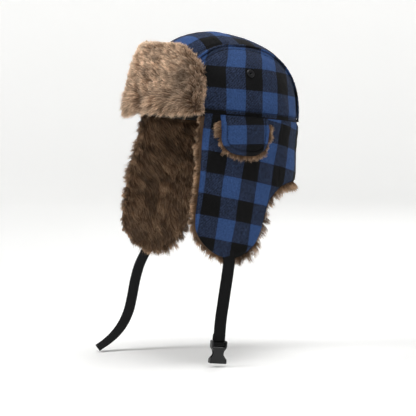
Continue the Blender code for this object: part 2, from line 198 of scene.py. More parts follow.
def fur_material(name, root, middle, tip_colour):
    """Pile: the UV map's v runs from root to tip, its u is a number per strand."""
    m, t, s = new_material(name)
    number, height = uv_parts(t, "strand")
    ramp = t.nodes.new("ShaderNodeValToRGB")
    e = ramp.color_ramp.elements
    e[0].position, e[0].color = 0.0, (*root, 1.0)
    e[1].position, e[1].color = 1.0, (*tip_colour, 1.0)
    mid = e.new(0.55)
    mid.color = (*middle, 1.0)
    link(t, height, ramp.inputs[0])
    patch = noise(t, object_coords(t), 60.0, 3.0, 0.6)
    own = times_plus(t, number, 1.15, 0.20)
    value = times(t, own, times_plus(t, patch, 0.9, 0.80))
    link(t, shaded(t, ramp.outputs[0], value), s.inputs["Base Color"])
    settings(s, rough=0.55, spec=0.25)
    return m


def webbing_material():
    """Ribbed webbing: the UV map's u counts ribs across, its v counts picks along."""
    m, t, s = new_material("black_webbing")
    rib, pick = uv_parts(t, "weave")
    ribs = math_node(t, "SINE", times(t, rib, 2 * math.pi))
    half = times(t, math_node(t, "FLOOR", rib), 0.5)
    picks = math_node(t, "SINE", times(t, math_node(t, "ADD", pick, half), 2 * math.pi))
    height = times_plus(t, picks, 0.5, times(t, ribs, 0.6))
    # painted shade: the weave's colour is darker in the hollows between ribs and picks and lighter on their
    # tops
    light = times_plus(t, height, 0.25, 0.35, True)
    fleck = noise(t, object_coords(t), 900.0, 2.0)
    weave = mix_colour(t, times(t, light, fleck), (0.0035, 0.0035, 0.0038), (0.013, 0.0135, 0.0145))
    link(t, weave, s.inputs["Base Color"])
    settings(s, rough=0.72, spec=0.15)
    bump(t, height, 0.8, 0.00025, s)
    return m


def plain_material(name, dark, light, rough, scale, depth, metal=0.0, sheen=0.0, spec=0.5):
    """A flecked material between two colours, its roughness varying by 0.12."""
    m, t, s = new_material(name)
    obj = object_coords(t)
    n = noise(t, obj, scale, 4.0, 0.6)
    link(t, mix_colour(t, n, dark, light), s.inputs["Base Color"])
    link(t, times_plus(t, noise(t, obj, scale * 0.3, 2.0), 0.12, rough - 0.06), s.inputs["Roughness"])
    settings(s, metal=metal, spec=spec, sheen=sheen)
    bump(t, noise(t, obj, scale * 2.0, 3.0), 0.4, depth, s)
    return m


def quilt_material():
    m, t, s = new_material("quilted_lining")
    obj = object_coords(t)
    fine = noise(t, obj, 2200.0, 2.0)
    link(t, mix_colour(t, fine, (0.008, 0.008, 0.010), (0.026, 0.027, 0.032)), s.inputs["Base Color"])
    settings(s, rough=0.48, sheen=0.15)
    bump(t, times_plus(t, noise(t, obj, 90.0, 3.0), 2.0, fine), 0.35, 0.0003, s)
    return m


CHECK = check_material()
FUR = fur_material("brown_fur", (0.032, 0.016, 0.008), (0.30, 0.178, 0.106), (0.90, 0.665, 0.47))
FUR_EDGE = fur_material("brown_fur_edge", (0.105, 0.060, 0.033), (0.25, 0.145, 0.080), (0.60, 0.41, 0.265))
WEB = webbing_material()
THREAD = plain_material("black_thread", (0.002, 0.002, 0.0025), (0.008, 0.008, 0.010),
                        0.7, 3000.0, 0.0001, spec=0.1)
PLASTIC = plain_material("black_plastic", (0.004, 0.004, 0.0045), (0.008, 0.008, 0.009),
                         0.40, 700.0, 0.00005, spec=0.4)
METAL = plain_material("blackened_metal", (0.010, 0.010, 0.011), (0.022, 0.022, 0.024),
                       0.42, 500.0, 0.00004, metal=0.6)
LINING = quilt_material()
BAND_CLOTH = plain_material("sweatband_cloth", (0.008, 0.008, 0.009), (0.024, 0.024, 0.028),
                            0.75, 1500.0, 0.0002, sheen=0.2)

# ---------------------------------------------------------------- shape of the hat


def tip(p):
    """Points or directions, tilted from the hat's own frame into the shared one."""
    p = np.asarray(p, float)
    c, s = math.cos(TILT), math.sin(TILT)
    out = np.empty_like(p)
    out[..., 0] = p[..., 0]
    out[..., 1] = p[..., 1] * c + p[..., 2] * s
    out[..., 2] = p[..., 2] * c - p[..., 1] * s
    return out


def power(v, m):
    """A sine or cosine bent for a superellipse of power m."""
    return np.sign(v) * np.abs(v) ** (2.0 / m)


def half_width(y, d):
    """Half width of the band's outline at y, d inside its outer face."""
    return (A - d) * np.clip(1.0 - np.abs(y / (B - d)) ** PLAN, 0.0, None) ** (1.0 / PLAN)


def smooth(v):
    v = np.clip(v, 0.0, 1.0)
    return v * v * (3.0 - 2.0 * v)


def skirt_x(y, z, d, x_band=None):
    """Half width of the ear flaps and curtain: the band's outline, passing into a flatter side lower down."""
    x_band = half_width(y, d) if x_band is None else x_band
    flat = 0.087 + 0.006 * (z / 0.175) ** 2 - 0.004 * ((y + 0.025) / 0.052) ** 2 - d
    w = smooth(-z / 0.09) * smooth((0.075 - y) / 0.045)
    return (1.0 - w) * x_band + w * flat


def crown_point(x, phi, d):
    """A point of the crown, phi from front to back, d inside its outer face."""
    a, b, h = A - d, B - d, H - d
    rho = np.clip(1.0 - np.abs(x / a) ** PLAN, 0.0, None) ** (1.0 / PLAN)
    z = h * rho * power(np.sin(phi), ARCH)
    y = -b * rho * power(np.cos(phi), ARCH)
    x, y, z = np.broadcast_arrays(x, y, z)
    return np.stack([x, y, 0.0005 + z * (h - 0.0005) / h], -1)


# ---------------------------------------------------------------- mesh helpers


def make_mesh(name, verts, faces, material, uvs=None, uv_name="checks"):
    """verts (n, 3); faces a list of arrays of equal-sized faces; uvs per vertex."""
    mesh = bpy.data.meshes.new(name)
    mesh.vertices.add(len(verts))
    mesh.vertices.foreach_set("co", np.asarray(verts, np.float32).ravel())
    loops = np.concatenate([np.asarray(f).ravel() for f in faces])
    sizes = np.concatenate([np.full(len(f), np.asarray(f).shape[1]) for f in faces])
    mesh.loops.add(len(loops))
    mesh.loops.foreach_set("vertex_index", loops.astype(np.int32))
    mesh.polygons.add(len(sizes))
    mesh.polygons.foreach_set("loop_start", np.concatenate([[0], np.cumsum(sizes)[:-1]]).astype(np.int32))
    mesh.polygons.foreach_set("use_smooth", np.full(len(sizes), True))
    if uvs is not None:
        layer = mesh.uv_layers.new(name=uv_name)
        layer.data.foreach_set("uv", np.asarray(uvs, np.float32)[loops].ravel())
    mesh.materials.append(material)
    mesh.update(calc_edges=True)
    mesh.validate()
    ob = bpy.data.objects.new(name, mesh)
    bpy.context.scene.collection.objects.link(ob)
    return ob


def shell(name, outer, inner, material, uv=None, closed=False):
    """A closed layer between two grids (nu, nv, 3) of points."""
    nu, nv = outer.shape[:2]
    verts = np.concatenate([outer.reshape(-1, 3), inner.reshape(-1, 3)])
    base = nu * nv
    i = np.arange(nu if closed else nu - 1)[:, None]
    j = np.arange(nv - 1)[None, :]
    k = (i + 1) % nu
    a, b, c, d = i * nv + j, k * nv + j, k * nv + j + 1, i * nv + j + 1
    quads = [np.stack([a, b, c, d], -1).reshape(-1, 4),
             np.stack([a + base, d + base, c + base, b + base], -1).reshape(-1, 4)]
    i1 = np.arange(nu if closed else nu - 1)
    k1 = (i1 + 1) % nu
    for col, order in ((0, 1), (nv - 1, -1)):
        q = np.stack([i1 * nv + col, i1 * nv + col + base, k1 * nv + col + base, k1 * nv + col], -1)
        quads.append(q[:, ::order])
    if not closed:
        j1 = np.arange(nv - 1)
        for row, order in ((0, -1), (nu - 1, 1)):
            q = row * nv + j1
            quads.append(np.stack([q, q + base, q + 1 + base, q + 1], -1)[:, ::order])
    uvs = None if uv is None else np.concatenate([uv.reshape(-1, 2)] * 2)
    return make_mesh(name, verts, [np.concatenate(quads)], material, uvs)


def tube(name, rows, material, uv=None, uv_name="checks"):
    """A closed rod from rings (n, m, 3), capped at both ends."""
    n, m = rows.shape[:2]
    i, j = np.arange(n - 1)[:, None], np.arange(m)[None, :]
    k = (j + 1) % m
    quads = np.stack([i * m + j, i * m + k, (i + 1) * m + k, (i + 1) * m + j], -1).reshape(-1, 4)
    caps = [np.arange(m)[None, ::-1], ((n - 1) * m + np.arange(m))[None]]
    return make_mesh(name, rows.reshape(-1, 3), [quads, *caps], material,
                     None if uv is None else uv.reshape(-1, 2), uv_name)


def outward(ob):
    """Turns the faces of a closed mesh outward."""
    bm = bmesh.new()
    bm.from_mesh(ob.data)
    bmesh.ops.recalc_face_normals(bm, faces=bm.faces)
    if bm.calc_volume(signed=True) < 0:
        bmesh.ops.reverse_faces(bm, faces=bm.faces)
    bm.to_mesh(ob.data)
    bm.free()
    return ob


def normals_of(grid):
    du, dv = np.gradient(grid, axis=0), np.gradient(grid, axis=1)
    n = np.cross(du, dv)
    return n / (np.linalg.norm(n, axis=-1, keepdims=True) + 1e-12)


def unit(v):
    return v / (np.linalg.norm(v, axis=-1, keepdims=True) + 1e-12)


def running(points):
    """Running length along a line of points."""
    return np.concatenate([[0], np.cumsum(np.linalg.norm(np.diff(points, axis=0), axis=1))])


def tangents(line):
    return unit(np.gradient(line, axis=0))


def resample(points, step):
    """The same line with points about step apart; extra columns are carried along."""
    points = np.asarray(points, float)
    s = running(points)
    n = max(2, int(round(s[-1] / step)))
    t = np.linspace(0, s[-1], n + 1)
    return np.stack([np.interp(t, s, points[:, k]) for k in range(points.shape[1])], -1)


def stitches(name, line, out, body, pitch=0.0031, length=0.0022, radius=0.00030):
    """A row of thread stitches along line; out is the surface normal at each of its points.

    Each stitch is a six-sided bead of five rings whose ends dip into the cloth."""
    both = resample(np.concatenate([line, out], axis=1), pitch)
    p, n = both[:, :3], unit(both[:, 3:])
    t = tangents(p)
    n = unit(n - t * np.sum(n * t, -1, keepdims=True))
    b = np.cross(t, n)
    ts = np.array([-1.0, -0.8, 0.0, 0.8, 1.0])
    rs = np.array([0.25, 0.8, 1.0, 0.8, 0.25])
    lift = np.array([-1.0, -0.2, 0.35, -0.2, -1.0])
    m = 6
    ang = np.arange(m) * 2 * math.pi / m
    ring = p[:, None, None] + t[:, None, None] * (ts * length / 2)[None, :, None, None]
    ring = ring + n[:, None, None] * (lift * radius)[None, :, None, None]
    circle = (n[:, None, None] * np.cos(ang)[None, None, :, None]
              + b[:, None, None] * np.sin(ang)[None, None, :, None])
    verts = ring + circle * (rs * radius)[None, :, None, None]
    count = len(p)
    start = np.arange(count)[:, None] * (5 * m)
    base = start[:, :, None]
    i, j = np.arange(4)[None, :, None], np.arange(m)[None, None, :]
    k = (j + 1) % m
    quads = np.stack([base + i * m + j, base + i * m + k, base + (i + 1) * m + k, base + (i + 1) * m + j], -1)
    cap0 = (start + np.arange(m)[None])[:, ::-1]
    cap1 = start + 4 * m + np.arange(m)[None]
    ob = make_mesh(name, verts.reshape(-1, 3), [quads.reshape(-1, 4), cap0, cap1], THREAD)
    outward(ob)
    if body:
        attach(ob, body)
    return ob


# ---------------------------------------------------------------- fur


def grid_samples(grid, count, rng):
    """Random points on a grid surface: the points, their normals and their place in it, in cells."""
    du = grid[1:, :-1] - grid[:-1, :-1]
    dv = grid[:-1, 1:] - grid[:-1, :-1]
    area = np.linalg.norm(np.cross(du, dv), axis=-1)
    p = area.ravel() / area.sum()
    cell = rng.choice(len(p), count, p=p)
    ci, cj = np.unravel_index(cell, area.shape)
    fu, fv = rng.random(count)[:, None], rng.random(count)[:, None]
    pts = (grid[ci, cj] * (1 - fu) * (1 - fv) + grid[ci + 1, cj] * fu * (1 - fv)
           + grid[ci, cj + 1] * (1 - fu) * fv + grid[ci + 1, cj + 1] * fu * fv)
    return pts, normals_of(grid)[ci, cj], ci + fu[:, 0], cj + fv[:, 0]


def scatter(line, count, rng):
    """Random points on a line, with the point before each one and how far past it they are."""
    k = rng.random(count) * (len(line) - 1)
    i = k.astype(int)
    f = (k - i)[:, None]
    return line[i] * (1 - f) + line[i + 1] * f, i, f


def strands(name, roots, direction, length, width, rng, material, droop=(0, 0, -0.35), clump=0.55,
            lock=26, curl=0.12, base=None, tone_and_painted_shade=1.0):
    """Tapered three-sided strands, gathered into locks, as one mesh."""
    n = len(roots)
    length = np.broadcast_to(length, (n,)) * rng.uniform(0.72, 1.18, n)
    direction = unit(direction)
    droop = np.asarray(droop, float)
    ts = np.array([0.0, 0.38, 0.72, 1.0])
    side = unit(np.cross(direction, rng.normal(size=(n, 3))))
    bend = rng.normal(size=(n, 1)) * curl
    def line(t):
        return (roots + direction * (length * t)[:, None]
                + (droop[None] * length[:, None] + side * bend * length[:, None]) * (t * t))
    pts = np.stack([line(t) for t in ts], 1)
    # locks: every strand leans toward the tip of the nearest lock
    seeds = max(8, int(n / lock))
    pick = rng.choice(n, seeds, replace=False)
    centre, tips = roots[pick], pts[pick]
    nearest = np.empty(n, np.int64)
    for a in range(0, n, 2000):
        dist = ((roots[a:a + 2000, None] - centre[None]) ** 2).sum(-1)
        nearest[a:a + 2000] = dist.argmin(1)
    pull = clump * rng.uniform(0.5, 1.15, n)
    for k, t in enumerate(ts):
        w = (pull * t ** 1.3)[:, None]
        pts[:, k] = pts[:, k] * (1 - w) + tips[nearest, k] * w
    widths = np.array([1.0, 0.95, 0.65])
    axis = unit(np.gradient(pts, axis=1))
    e1 = unit(np.cross(axis, side[:, None] + 0.01))
    e2 = np.cross(axis, e1)
    ang = np.arange(3) * 2 * math.pi / 3
    w = (width * rng.uniform(0.7, 1.3, n))[:, None, None, None] * widths[None, :, None, None]
    ring = (pts[:, :3, None] + (e1[:, :3, None] * np.cos(ang)[None, None, :, None]
            + e2[:, :3, None] * np.sin(ang)[None, None, :, None]) * w)
    verts = np.concatenate([ring.reshape(n, 9, 3), pts[:, 3:4]], 1).reshape(-1, 3)
    base_index = np.arange(n)[:, None] * 10
    quads, tris = [], [base_index + np.array([[2, 1, 0]])]
    for r in range(2):
        for j in range(3):
            k = (j + 1) % 3
            quads.append(base_index + np.array([[r * 3 + j, r * 3 + k, r * 3 + 3 + k, r * 3 + 3 + j]]))
    for j in range(3):
        tris.append(base_index + np.array([[6 + j, 6 + (j + 1) % 3, 9]]))
    # each strand's tone is scaled here by a per-strand factor that carries painted shade on the visor's side
    # sections
    tone = np.clip(rng.normal(0.5, 0.30, n) * 0.36 + rng.random(seeds)[nearest] * 0.64, 0, 1) * tone_and_painted_shade
    v = np.repeat(np.array([0.0, 0.38, 0.72, 1.0]), [3, 3, 3, 1])
    uvs = np.stack([np.repeat(tone, 10), np.tile(v, n)], -1)
    faces_q, faces_t = np.concatenate(quads), np.concatenate(tris)
    if base is not None:
        bv, bf = base
        faces_q = np.concatenate([faces_q, bf + len(verts)])
        verts = np.concatenate([verts, bv])
        uvs = np.concatenate([uvs, np.tile([[0.35, 0.16]], (len(bv), 1))])
    return make_mesh(name, verts, [faces_q, faces_t], material, uvs, "strand")


def slab(outer, inner):
    """Vertices and quads of a closed layer, to join under fur."""
    ob = shell("slab_tmp", outer, inner, FUR)
    verts = np.empty(len(ob.data.vertices) * 3, np.float32)
    ob.data.vertices.foreach_get("co", verts)
    loops = np.empty(len(ob.data.loops), np.int32)
    ob.data.loops.foreach_get("vertex_index", loops)
    bpy.data.objects.remove(ob, do_unlink=True)
    return verts.reshape(-1, 3), loops.reshape(-1, 4)


def waves(points, seed, count, size, low, high):
    """The sum of count random plane waves at points, size across or so."""
    rng = np.random.default_rng(seed)
    total = np.zeros(points.shape[:-1])
    for _ in range(count):
        k = rng.normal(size=3)
        k = k / np.linalg.norm(k) * 2 * math.pi / (size * rng.uniform(low, high))
        total += np.sin(points @ k + rng.uniform(0, 6.28))
    return total


def lumpy(grid, amount, seed, size=0.012):
    """Moves a grid's points a little along its normals, in soft lumps."""
    return grid + normals_of(grid) * (waves(grid, seed, 14, size, 0.7, 2.2) / 3.7 * amount)[..., None]


def soft_noise(points, seed, size):
    """A smooth random field on points, about -1 to 1."""
    return waves(points, seed, 16, size, 0.6, 2.0) / 4.0


def arc_along(grid, axis):
    """Running length of a grid's lines along one axis."""
    step = np.linalg.norm(np.diff(grid, axis=axis), axis=-1)
    pad = [(0, 0), (0, 0)]
    pad[axis] = (1, 0)
    return np.pad(np.cumsum(step, axis=axis), pad)


def dent(e, at, width, depth):
    return -depth * np.exp(-(((e - at) / width) ** 2))


def outward_normals(grid, centre):
    n = normals_of(grid)
    side = np.sum(n * (grid - centre), -1).mean()
    return n if side > 0 else -n


def piece(ob, body=None, blend=None, stands_for=()):
    if stands_for:
        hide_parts(*stands_for)
    if blend:
        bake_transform(ob)
    elif body:
        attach(ob, body)
    return ob


def cut_hole(ob, centre, axis, radius, depth):
    """Cuts a round hole through a closed piece."""
    bm = bmesh.new()
    bmesh.ops.create_cone(bm, cap_ends=True, segments=24, radius1=radius, radius2=radius, depth=depth)
    mesh = bpy.data.meshes.new("hole")
    bm.to_mesh(mesh)
    bm.free()
    cutter = bpy.data.objects.new("hole", mesh)
    turn = Vector(axis).to_track_quat("Z", "Y").to_matrix().to_4x4()
    cutter.matrix_world = Matrix.Translation(Vector(centre)) @ turn
    bpy.context.scene.collection.objects.link(cutter)
    m = ob.modifiers.new("hole", "BOOLEAN")
    m.operation, m.solver, m.object = "DIFFERENCE", "EXACT", cutter
    bpy.context.view_layer.update()
    done = bpy.data.meshes.new_from_object(ob.evaluated_get(bpy.context.evaluated_depsgraph_get()))
    ob.modifiers.clear()
    ob.data = done
    bpy.data.objects.remove(cutter, do_unlink=True)
    return ob


def turned(n, side):
    """Normals turned to point away from x = 0 on the given side."""
    return n * np.sign(n[..., 0:1].mean() * side)


def mirrored(ob):
    """Turns a piece into its mirror image across x = 0, its faces still outward."""
    ob.data.transform(Matrix.Diagonal((-1, 1, 1, 1)))
    ob.data.flip_normals()


# ---------------------------------------------------------------- crown

CENTRE = np.array([0.0, 0.0, 0.02])
# the eyelet's (y, z) before the tilt, its hole's radius and the length of the cut
EYELET, VENT_R, VENT_CUT = (-0.007, 0.053), 0.0021, 0.03
# how far the topstitching lies from a crown seam
SEAM_E = 0.0056
# depth of the lining below the flannel's base, and the size of its quilting
LINING_D, QUILT = 0.0048, 0.026


def centre_panel(d, nx, nphi):
    x = np.linspace(-SEAM_X + 0.0004, SEAM_X - 0.0004, nx)[None]
    phi = np.linspace(0.0, math.pi, nphi)[:, None]
    return crown_point(x, phi, d)


def side_panel(side, d, nr, nphi):
    a = A - d
    start = (1.0 - ((SEAM_X + 0.0004) / a) ** PLAN) ** (1.0 / PLAN)
    rho = np.linspace(start, 0.004, nr)[None]
    x = a * (1.0 - rho ** PLAN) ** (1.0 / PLAN)
    phi = np.linspace(0.0, math.pi, nphi)[:, None]
    g = crown_point(x, phi, d)
    g[..., 0] *= side
    return g


def panel_relief(g, e, run, seed):
    """Height of a sewn, padded panel; e is the distance from its seam, run the place along it."""
    z = g[..., 2]
    h = 0.0011 * (1 - np.exp(-e / 0.016)) - 0.0011
    h += dent(e, SEAM_E, 0.0009, 0.0010) + 0.0004 * np.exp(-(((e - 0.0028) / 0.0016) ** 2))
    puckers = np.sin(run * 2 * math.pi / 0.0115 + 3 * soft_noise(g, seed, 0.05))
    h += np.where(e > SEAM_E, 1, 0) * 0.00025 * puckers * np.exp(-(e - SEAM_E) / 0.009)
    h += dent(z, 0.0052, 0.0009, 0.0009) - 0.0007 * np.exp(-z / 0.0014)
    h += 0.00020 * np.sin(run * 2 * math.pi / 0.0063) * np.exp(-np.abs(z - 0.009) / 0.004)
    fade = smooth(z / 0.02)
    h += fade * (0.0010 * soft_noise(g, seed + 1, 0.055) + 0.00025 * soft_noise(g, seed + 2, 0.014))
    vent = np.hypot(g[..., 1] - EYELET[0], z - EYELET[1]) + np.where(np.abs(g[..., 0]) > 0.06, 0.0, 1.0)
    return h * smooth((vent - 0.0050) / 0.0085) - 0.0005 * np.exp(-(vent / 0.007) ** 4)


def grain_shift(g):
    """How far the stripes of a side panel run back where the panel curves in over the head."""
    x, y, z = np.abs(g[..., 0]), g[..., 1], np.clip(g[..., 2], 0, H)
    base = A * np.maximum(1.0 - np.abs(y / B) ** PLAN, 0) ** (1.0 / PLAN)
    return np.interp(z, (0.0, 0.053, 0.073, H), (0.04, 0.24, 0.48, 0.55)) * np.minimum(x - base, 0)


def side_uv(g, side):
    """Stripe counts on a crown side and on its folded seam."""
    y0, z0, rows = (0.0079, 0.0045, ROWS_LEFT) if side == 1 else (0.0150, 0.0150, ROWS)
    return np.stack([(g[..., 1] + grain_shift(g) - y0) / STRIPES, (g[..., 2] - z0) / rows], -1)


for side, word in ((0, "centre"), (1, "left"), (-1, "right")):
    g = centre_panel(0.0, 92, 240) if side == 0 else side_panel(side, 0.0, 96, 240)
    run = arc_along(g, 0)
    if side == 0:
        across = arc_along(g, 1)
        e = np.minimum(across, across[:, -1:] - across)
        run = run - run[120][None]
    else:
        e = arc_along(g, 1)
        run = np.repeat(run[:, :1], g.shape[1], 1)
    n = outward_normals(g, CENTRE)
    h = panel_relief(g, e, run, 11 + side)
    outer = g + n * h[..., None]
    inner = g - n * 0.0018
    if side == 0:
        uv = np.stack([(g[..., 0] - 0.030) / STRIPES + 0.5, (run + 0.057) / ROWS_CENTRE + 0.5], -1)
        nodes = ["crown_centre_panel", "crown_padding_centre"]
    else:
        uv = side_uv(g, side)
        nodes = [f"crown_side_panel_{word}", f"crown_padding_{word}"]
    ob = outward(shell(f"flannel_crown_{word}", tip(outer), tip(inner), CHECK, uv))
    if side:
        near = np.argmin(np.hypot(g[..., 1] - EYELET[0], g[..., 2] - EYELET[1]))
        vent_at, vent_axis = tip(g).reshape(-1, 3)[near], (tip(g + n) - tip(g)).reshape(-1, 3)[near]
        # the boolean turns the right side inside out, so it is cut as a left side
        if side < 0:
            mirrored(ob)
        cut_hole(ob, vent_at * (side, 1, 1), vent_axis * (side, 1, 1), VENT_R, VENT_CUT)
        if side < 0:
            mirrored(ob)
    piece(ob, "crown", stands_for=nodes)
    # thread along the seams and the band
    m = outer.shape[1]
    nt = tip(g + n) - tip(g)
    if side == 0:
        col = int(np.argmin(np.abs(across[120] - SEAM_E)))
        lines = [(tip(outer)[4:-4, c], nt[4:-4, c]) for c in (col, m - 1 - col)]
    else:
        line, out = [], []
        for i in range(5, outer.shape[0] - 5):
            k = np.interp(SEAM_E, e[i], np.arange(m))
            lo = int(k)
            f = k - lo
            line.append(tip(outer)[i, lo] * (1 - f) + tip(outer)[i, lo + 1] * f)
            out.append(nt[i, lo])
        lines = [(np.array(line), np.array(out))]
    for c, (line, out) in enumerate(lines):
        stitches(f"topstitch_crown_{word}_{c + 1}", line + unit(out) * 0.0001, out, "crown")

    # quilted lining
    lg = centre_panel(LINING_D, 60, 160) if side == 0 else side_panel(side, LINING_D, 64, 160)
    ln = outward_normals(lg, CENTRE)
    if side == 0:
        p, q = lg[..., 0], arc_along(lg, 0)
    else:
        p, q = lg[..., 1], lg[..., 2]
    quilt = np.minimum(*[np.abs((v / QUILT) % 1.0 - 0.5) for v in (p + q, p - q)]) * 2 * QUILT
    h = 0.0016 * (1 - np.exp(-quilt / 0.0030)) * smooth(lg[..., 2] / 0.02)
    if side:
        h *= smooth((np.hypot(lg[..., 1] - EYELET[0], lg[..., 2] - EYELET[1]) - 0.006) / 0.006)
    ob = outward(shell(f"quilted_lining_{word}", tip(lg - ln * 0.0002), tip(lg - ln * (0.0009 + h)[..., None]),
                       LINING))
    if side:
        cut_hole(ob, vent_at, vent_axis, VENT_R, VENT_CUT)
    piece(ob, "crown", stands_for=[f"crown_lining_{word}"])

# folded seams over the joins
for side, word in ((1, "left"), (-1, "right")):
    phi = np.linspace(0.0, math.pi, 420)
    line = crown_point(np.full_like(phi, side * SEAM_X), phi, np.full_like(phi, -0.0006))
    s = running(line)
    t = tangents(line)
    n = unit(line - CENTRE)
    across = unit(np.cross(t, n))
    n = np.cross(across, t)
    ang = np.linspace(0, 2 * math.pi, 14, endpoint=False)
    rw = 0.00165 * (1 + 0.10 * np.sin(s * 2 * math.pi / 0.0062) + 0.05 * np.sin(s * 2 * math.pi / 0.017))
    rh = 0.0014 * (1 + 0.08 * np.sin(s * 2 * math.pi / 0.0062 + 1.0))
    rings = (line[:, None] + across[:, None] * (np.cos(ang)[None] * rw[:, None])[..., None]
             + n[:, None] * (np.sin(ang)[None] * rh[:, None])[..., None])
    rings[..., 2] = np.maximum(rings[..., 2], 0.0004)
    piece(outward(tube(f"folded_seam_{word}", tip(rings), CHECK, side_uv(rings, side))), "crown",
          stands_for=[f"crown_seam_welt_{word}"])

# a black cord round the band's seam: partly the seam itself, partly its painted shadow
BAND_STEPS = 480
t = np.linspace(0, 2 * math.pi, BAND_STEPS, endpoint=False)
band = np.stack([(A - 0.0012) * power(np.cos(t), PLAN), (B - 0.0012) * power(np.sin(t), PLAN), 0 * t], -1)
bt = unit(np.roll(band, -1, 0) - np.roll(band, 1, 0))
bo = unit(np.stack([bt[:, 1], -bt[:, 0], 0 * t], -1))
ang = np.linspace(0, 2 * math.pi, 10, endpoint=False)
ring = (band[:, None] + bo[:, None] * (np.cos(ang) * 0.0010)[None, :, None]
        + np.array([0, 0, 1.0])[None, None] * (np.sin(ang) * 0.00085)[None, :, None])
i, j = np.arange(BAND_STEPS)[:, None], np.arange(10)[None]
k, after = (j + 1) % 10, (i + 1) % BAND_STEPS
quads = np.stack([i * 10 + j, i * 10 + k, after * 10 + k, after * 10 + j], -1).reshape(-1, 4)
piece(outward(make_mesh("band_seam_and_shadow", tip(ring).reshape(-1, 3), [quads], THREAD)), "crown")


def band_line(z, lift):
    """Points and normals round the crown at height z."""
    f = (1.0 - (z / H) ** ARCH) ** (1.0 / ARCH)
    tt = np.linspace(0, 2 * math.pi, 900, endpoint=False)
    p = np.stack([f * A * power(np.cos(tt), PLAN), f * B * power(np.sin(tt), PLAN), np.full_like(tt, z)], -1)
    tg = unit(np.roll(p, -1, 0) - np.roll(p, 1, 0))
    o = unit(np.stack([tg[:, 1], -tg[:, 0], 0.12 + 0 * tt], -1))
    p = p + o * lift
    q, out = tip(p), tip(p + o) - tip(p)
    return np.concatenate([q, q[:1]]), np.concatenate([out, out[:1]])


line, out = band_line(0.0052, 0.0004)
stitches("topstitch_band", line, out, "crown")

# sweatband
zs = np.linspace(-0.004, 0.026, 26)
ang = np.linspace(0, 2 * math.pi, 260, endpoint=False)


def sweat_ring(d):
    f = (1.0 - (np.maximum(zs, 0) / (H - 0.0076)) ** ARCH) ** (1.0 / ARCH)
    x = f[None] * (A - d) * power(np.cos(ang), PLAN)[:, None]
    y = f[None] * (B - d) * power(np.sin(ang), PLAN)[:, None]
    return np.stack([x, y, np.broadcast_to(zs[None], x.shape)], -1)


roll = 0.0007 * np.exp(-(((zs + 0.0035) / 0.0016) ** 2)) + 0.0006 * np.exp(-(((zs - 0.0255) / 0.0016) ** 2))
ridge = 0.00018 * np.sin(zs * 2 * math.pi / 0.0028)
outer = sweat_ring(0.0077)
inner = sweat_ring(0.0090)
c = unit(inner * np.array([-1, -1, 0.0]))
inner = inner + c * (roll + ridge)[None, :, None] + c * (0.0003 * soft_noise(inner, 5, 0.03))[..., None]
piece(outward(shell("sewn_sweatband", tip(outer), tip(inner), BAND_CLOTH, closed=True)), "crown",
      stands_for=["sweatband"])

# ---------------------------------------------------------------- ear flaps and neck curtain

HEM = np.array([(-77, -125), (-75.5, -143), (-67, -157), (-53, -168), (-38, -174), (-24, -175.5),
                (-10, -172), (2, -165.5), (13, -156), (22, -140), (28, -120), (35, -102), (46.15, -90)]) * MM
SPLIT_Y = 0.0463


def smooth_line(points, t):
    """Catmull-Rom through points at parameters t from 0 to len - 1."""
    p = np.concatenate([2 * points[:1] - points[1:2], points, 2 * points[-1:] - points[-2:-1]])
    i = np.clip(np.floor(t).astype(int), 0, len(points) - 2)
    f = (t - i)[:, None]
    a, b, c, d = p[i], p[i + 1], p[i + 2], p[i + 3]
    return 0.5 * (2 * b + (c - a) * f + (2 * a - 5 * b + 4 * c - d) * f ** 2
                  + (3 * b - a - 3 * c + d) * f ** 3)


def flap_yz(nu, nv, grow=0.0, top=-0.0005):
    """(y, z) of an ear flap: nu columns from front to back, nv rows from top to hem."""
    t = np.linspace(0, len(HEM) - 1, nu)
    hem = smooth_line(HEM, t)
    y0 = -0.066 + (0.04615 + 0.066) * t / (len(HEM) - 1)
    y1, z1 = hem[:, 0], hem[:, 1]
    w = np.clip((0.0456 - y1) / 0.03, 0.0, 1.0)
    y1 = y1 + w * grow * (y1 + 0.024) / 0.05
    y0 = y0 + grow * np.minimum(0.0, (y0 + 0.036) / 0.03)
    z1 = z1 - grow
    f = np.linspace(0, 1, nv)[None]
    z = top + (z1[:, None] - top) * f
    y = y0[:, None] + (y1 - y0)[:, None] * z / z1[:, None]
    return y, z


def flap_surface(side, y, z, d):
    return np.stack([side * skirt_x(y, z, d), y, z], -1)


def skirt_uv(s, z, shift=(0.0, 0.0)):
    u = (0.993 * s - 0.112 * z + 0.0325) / 0.050 + shift[0]
    v = (0.112 * s + 0.993 * z + 0.0524) / 0.0524 + shift[1]
    return np.stack([u, v], -1)


def edge_distance(grid, first=True, last=False, hem=True):
    """Distance of each grid point from the free edges."""
    du = arc_along(grid, 0)
    dv = arc_along(grid, 1)
    e = np.full(grid.shape[:2], 1.0)
    if first:
        e = np.minimum(e, du)
    if last:
        e = np.minimum(e, du[-1:] - du)
    if hem:
        e = np.minimum(e, dv[:, -1:] - dv)
    edge = [grid[0]] * bool(first) + [grid[-1]] * bool(last) + [grid[:, -1]] * bool(hem)
    edge = np.concatenate(edge)[::2]
    flat = grid.reshape(-1, 3)
    best = np.empty(len(flat))
    for k in range(0, len(flat), 4000):
        best[k:k + 4000] = np.sqrt(((flat[k:k + 4000, None] - edge[None]) ** 2).sum(-1).min(1))
    return best.reshape(grid.shape[:2])


def skirt_relief(g, e, seed):
    """Height of the padded flannel over its base: rolled edge, soft puff, shallow folds."""
    h = -0.0020 * np.exp(-((e / 0.0022) ** 2)) + 0.0011 * smooth(e / 0.014) - 0.0007
    folds = 0.0011 * soft_noise(g, seed, 0.05) + 0.00022 * soft_noise(g, seed + 1, 0.013)
    return h + smooth(e / 0.012) * folds


def edge_in_cover(y, z):
    """How far inside the ear cover's outline a point is, roughly; negative outside."""
    return np.minimum(0.034 - np.abs(y + 0.016), z + 0.046)


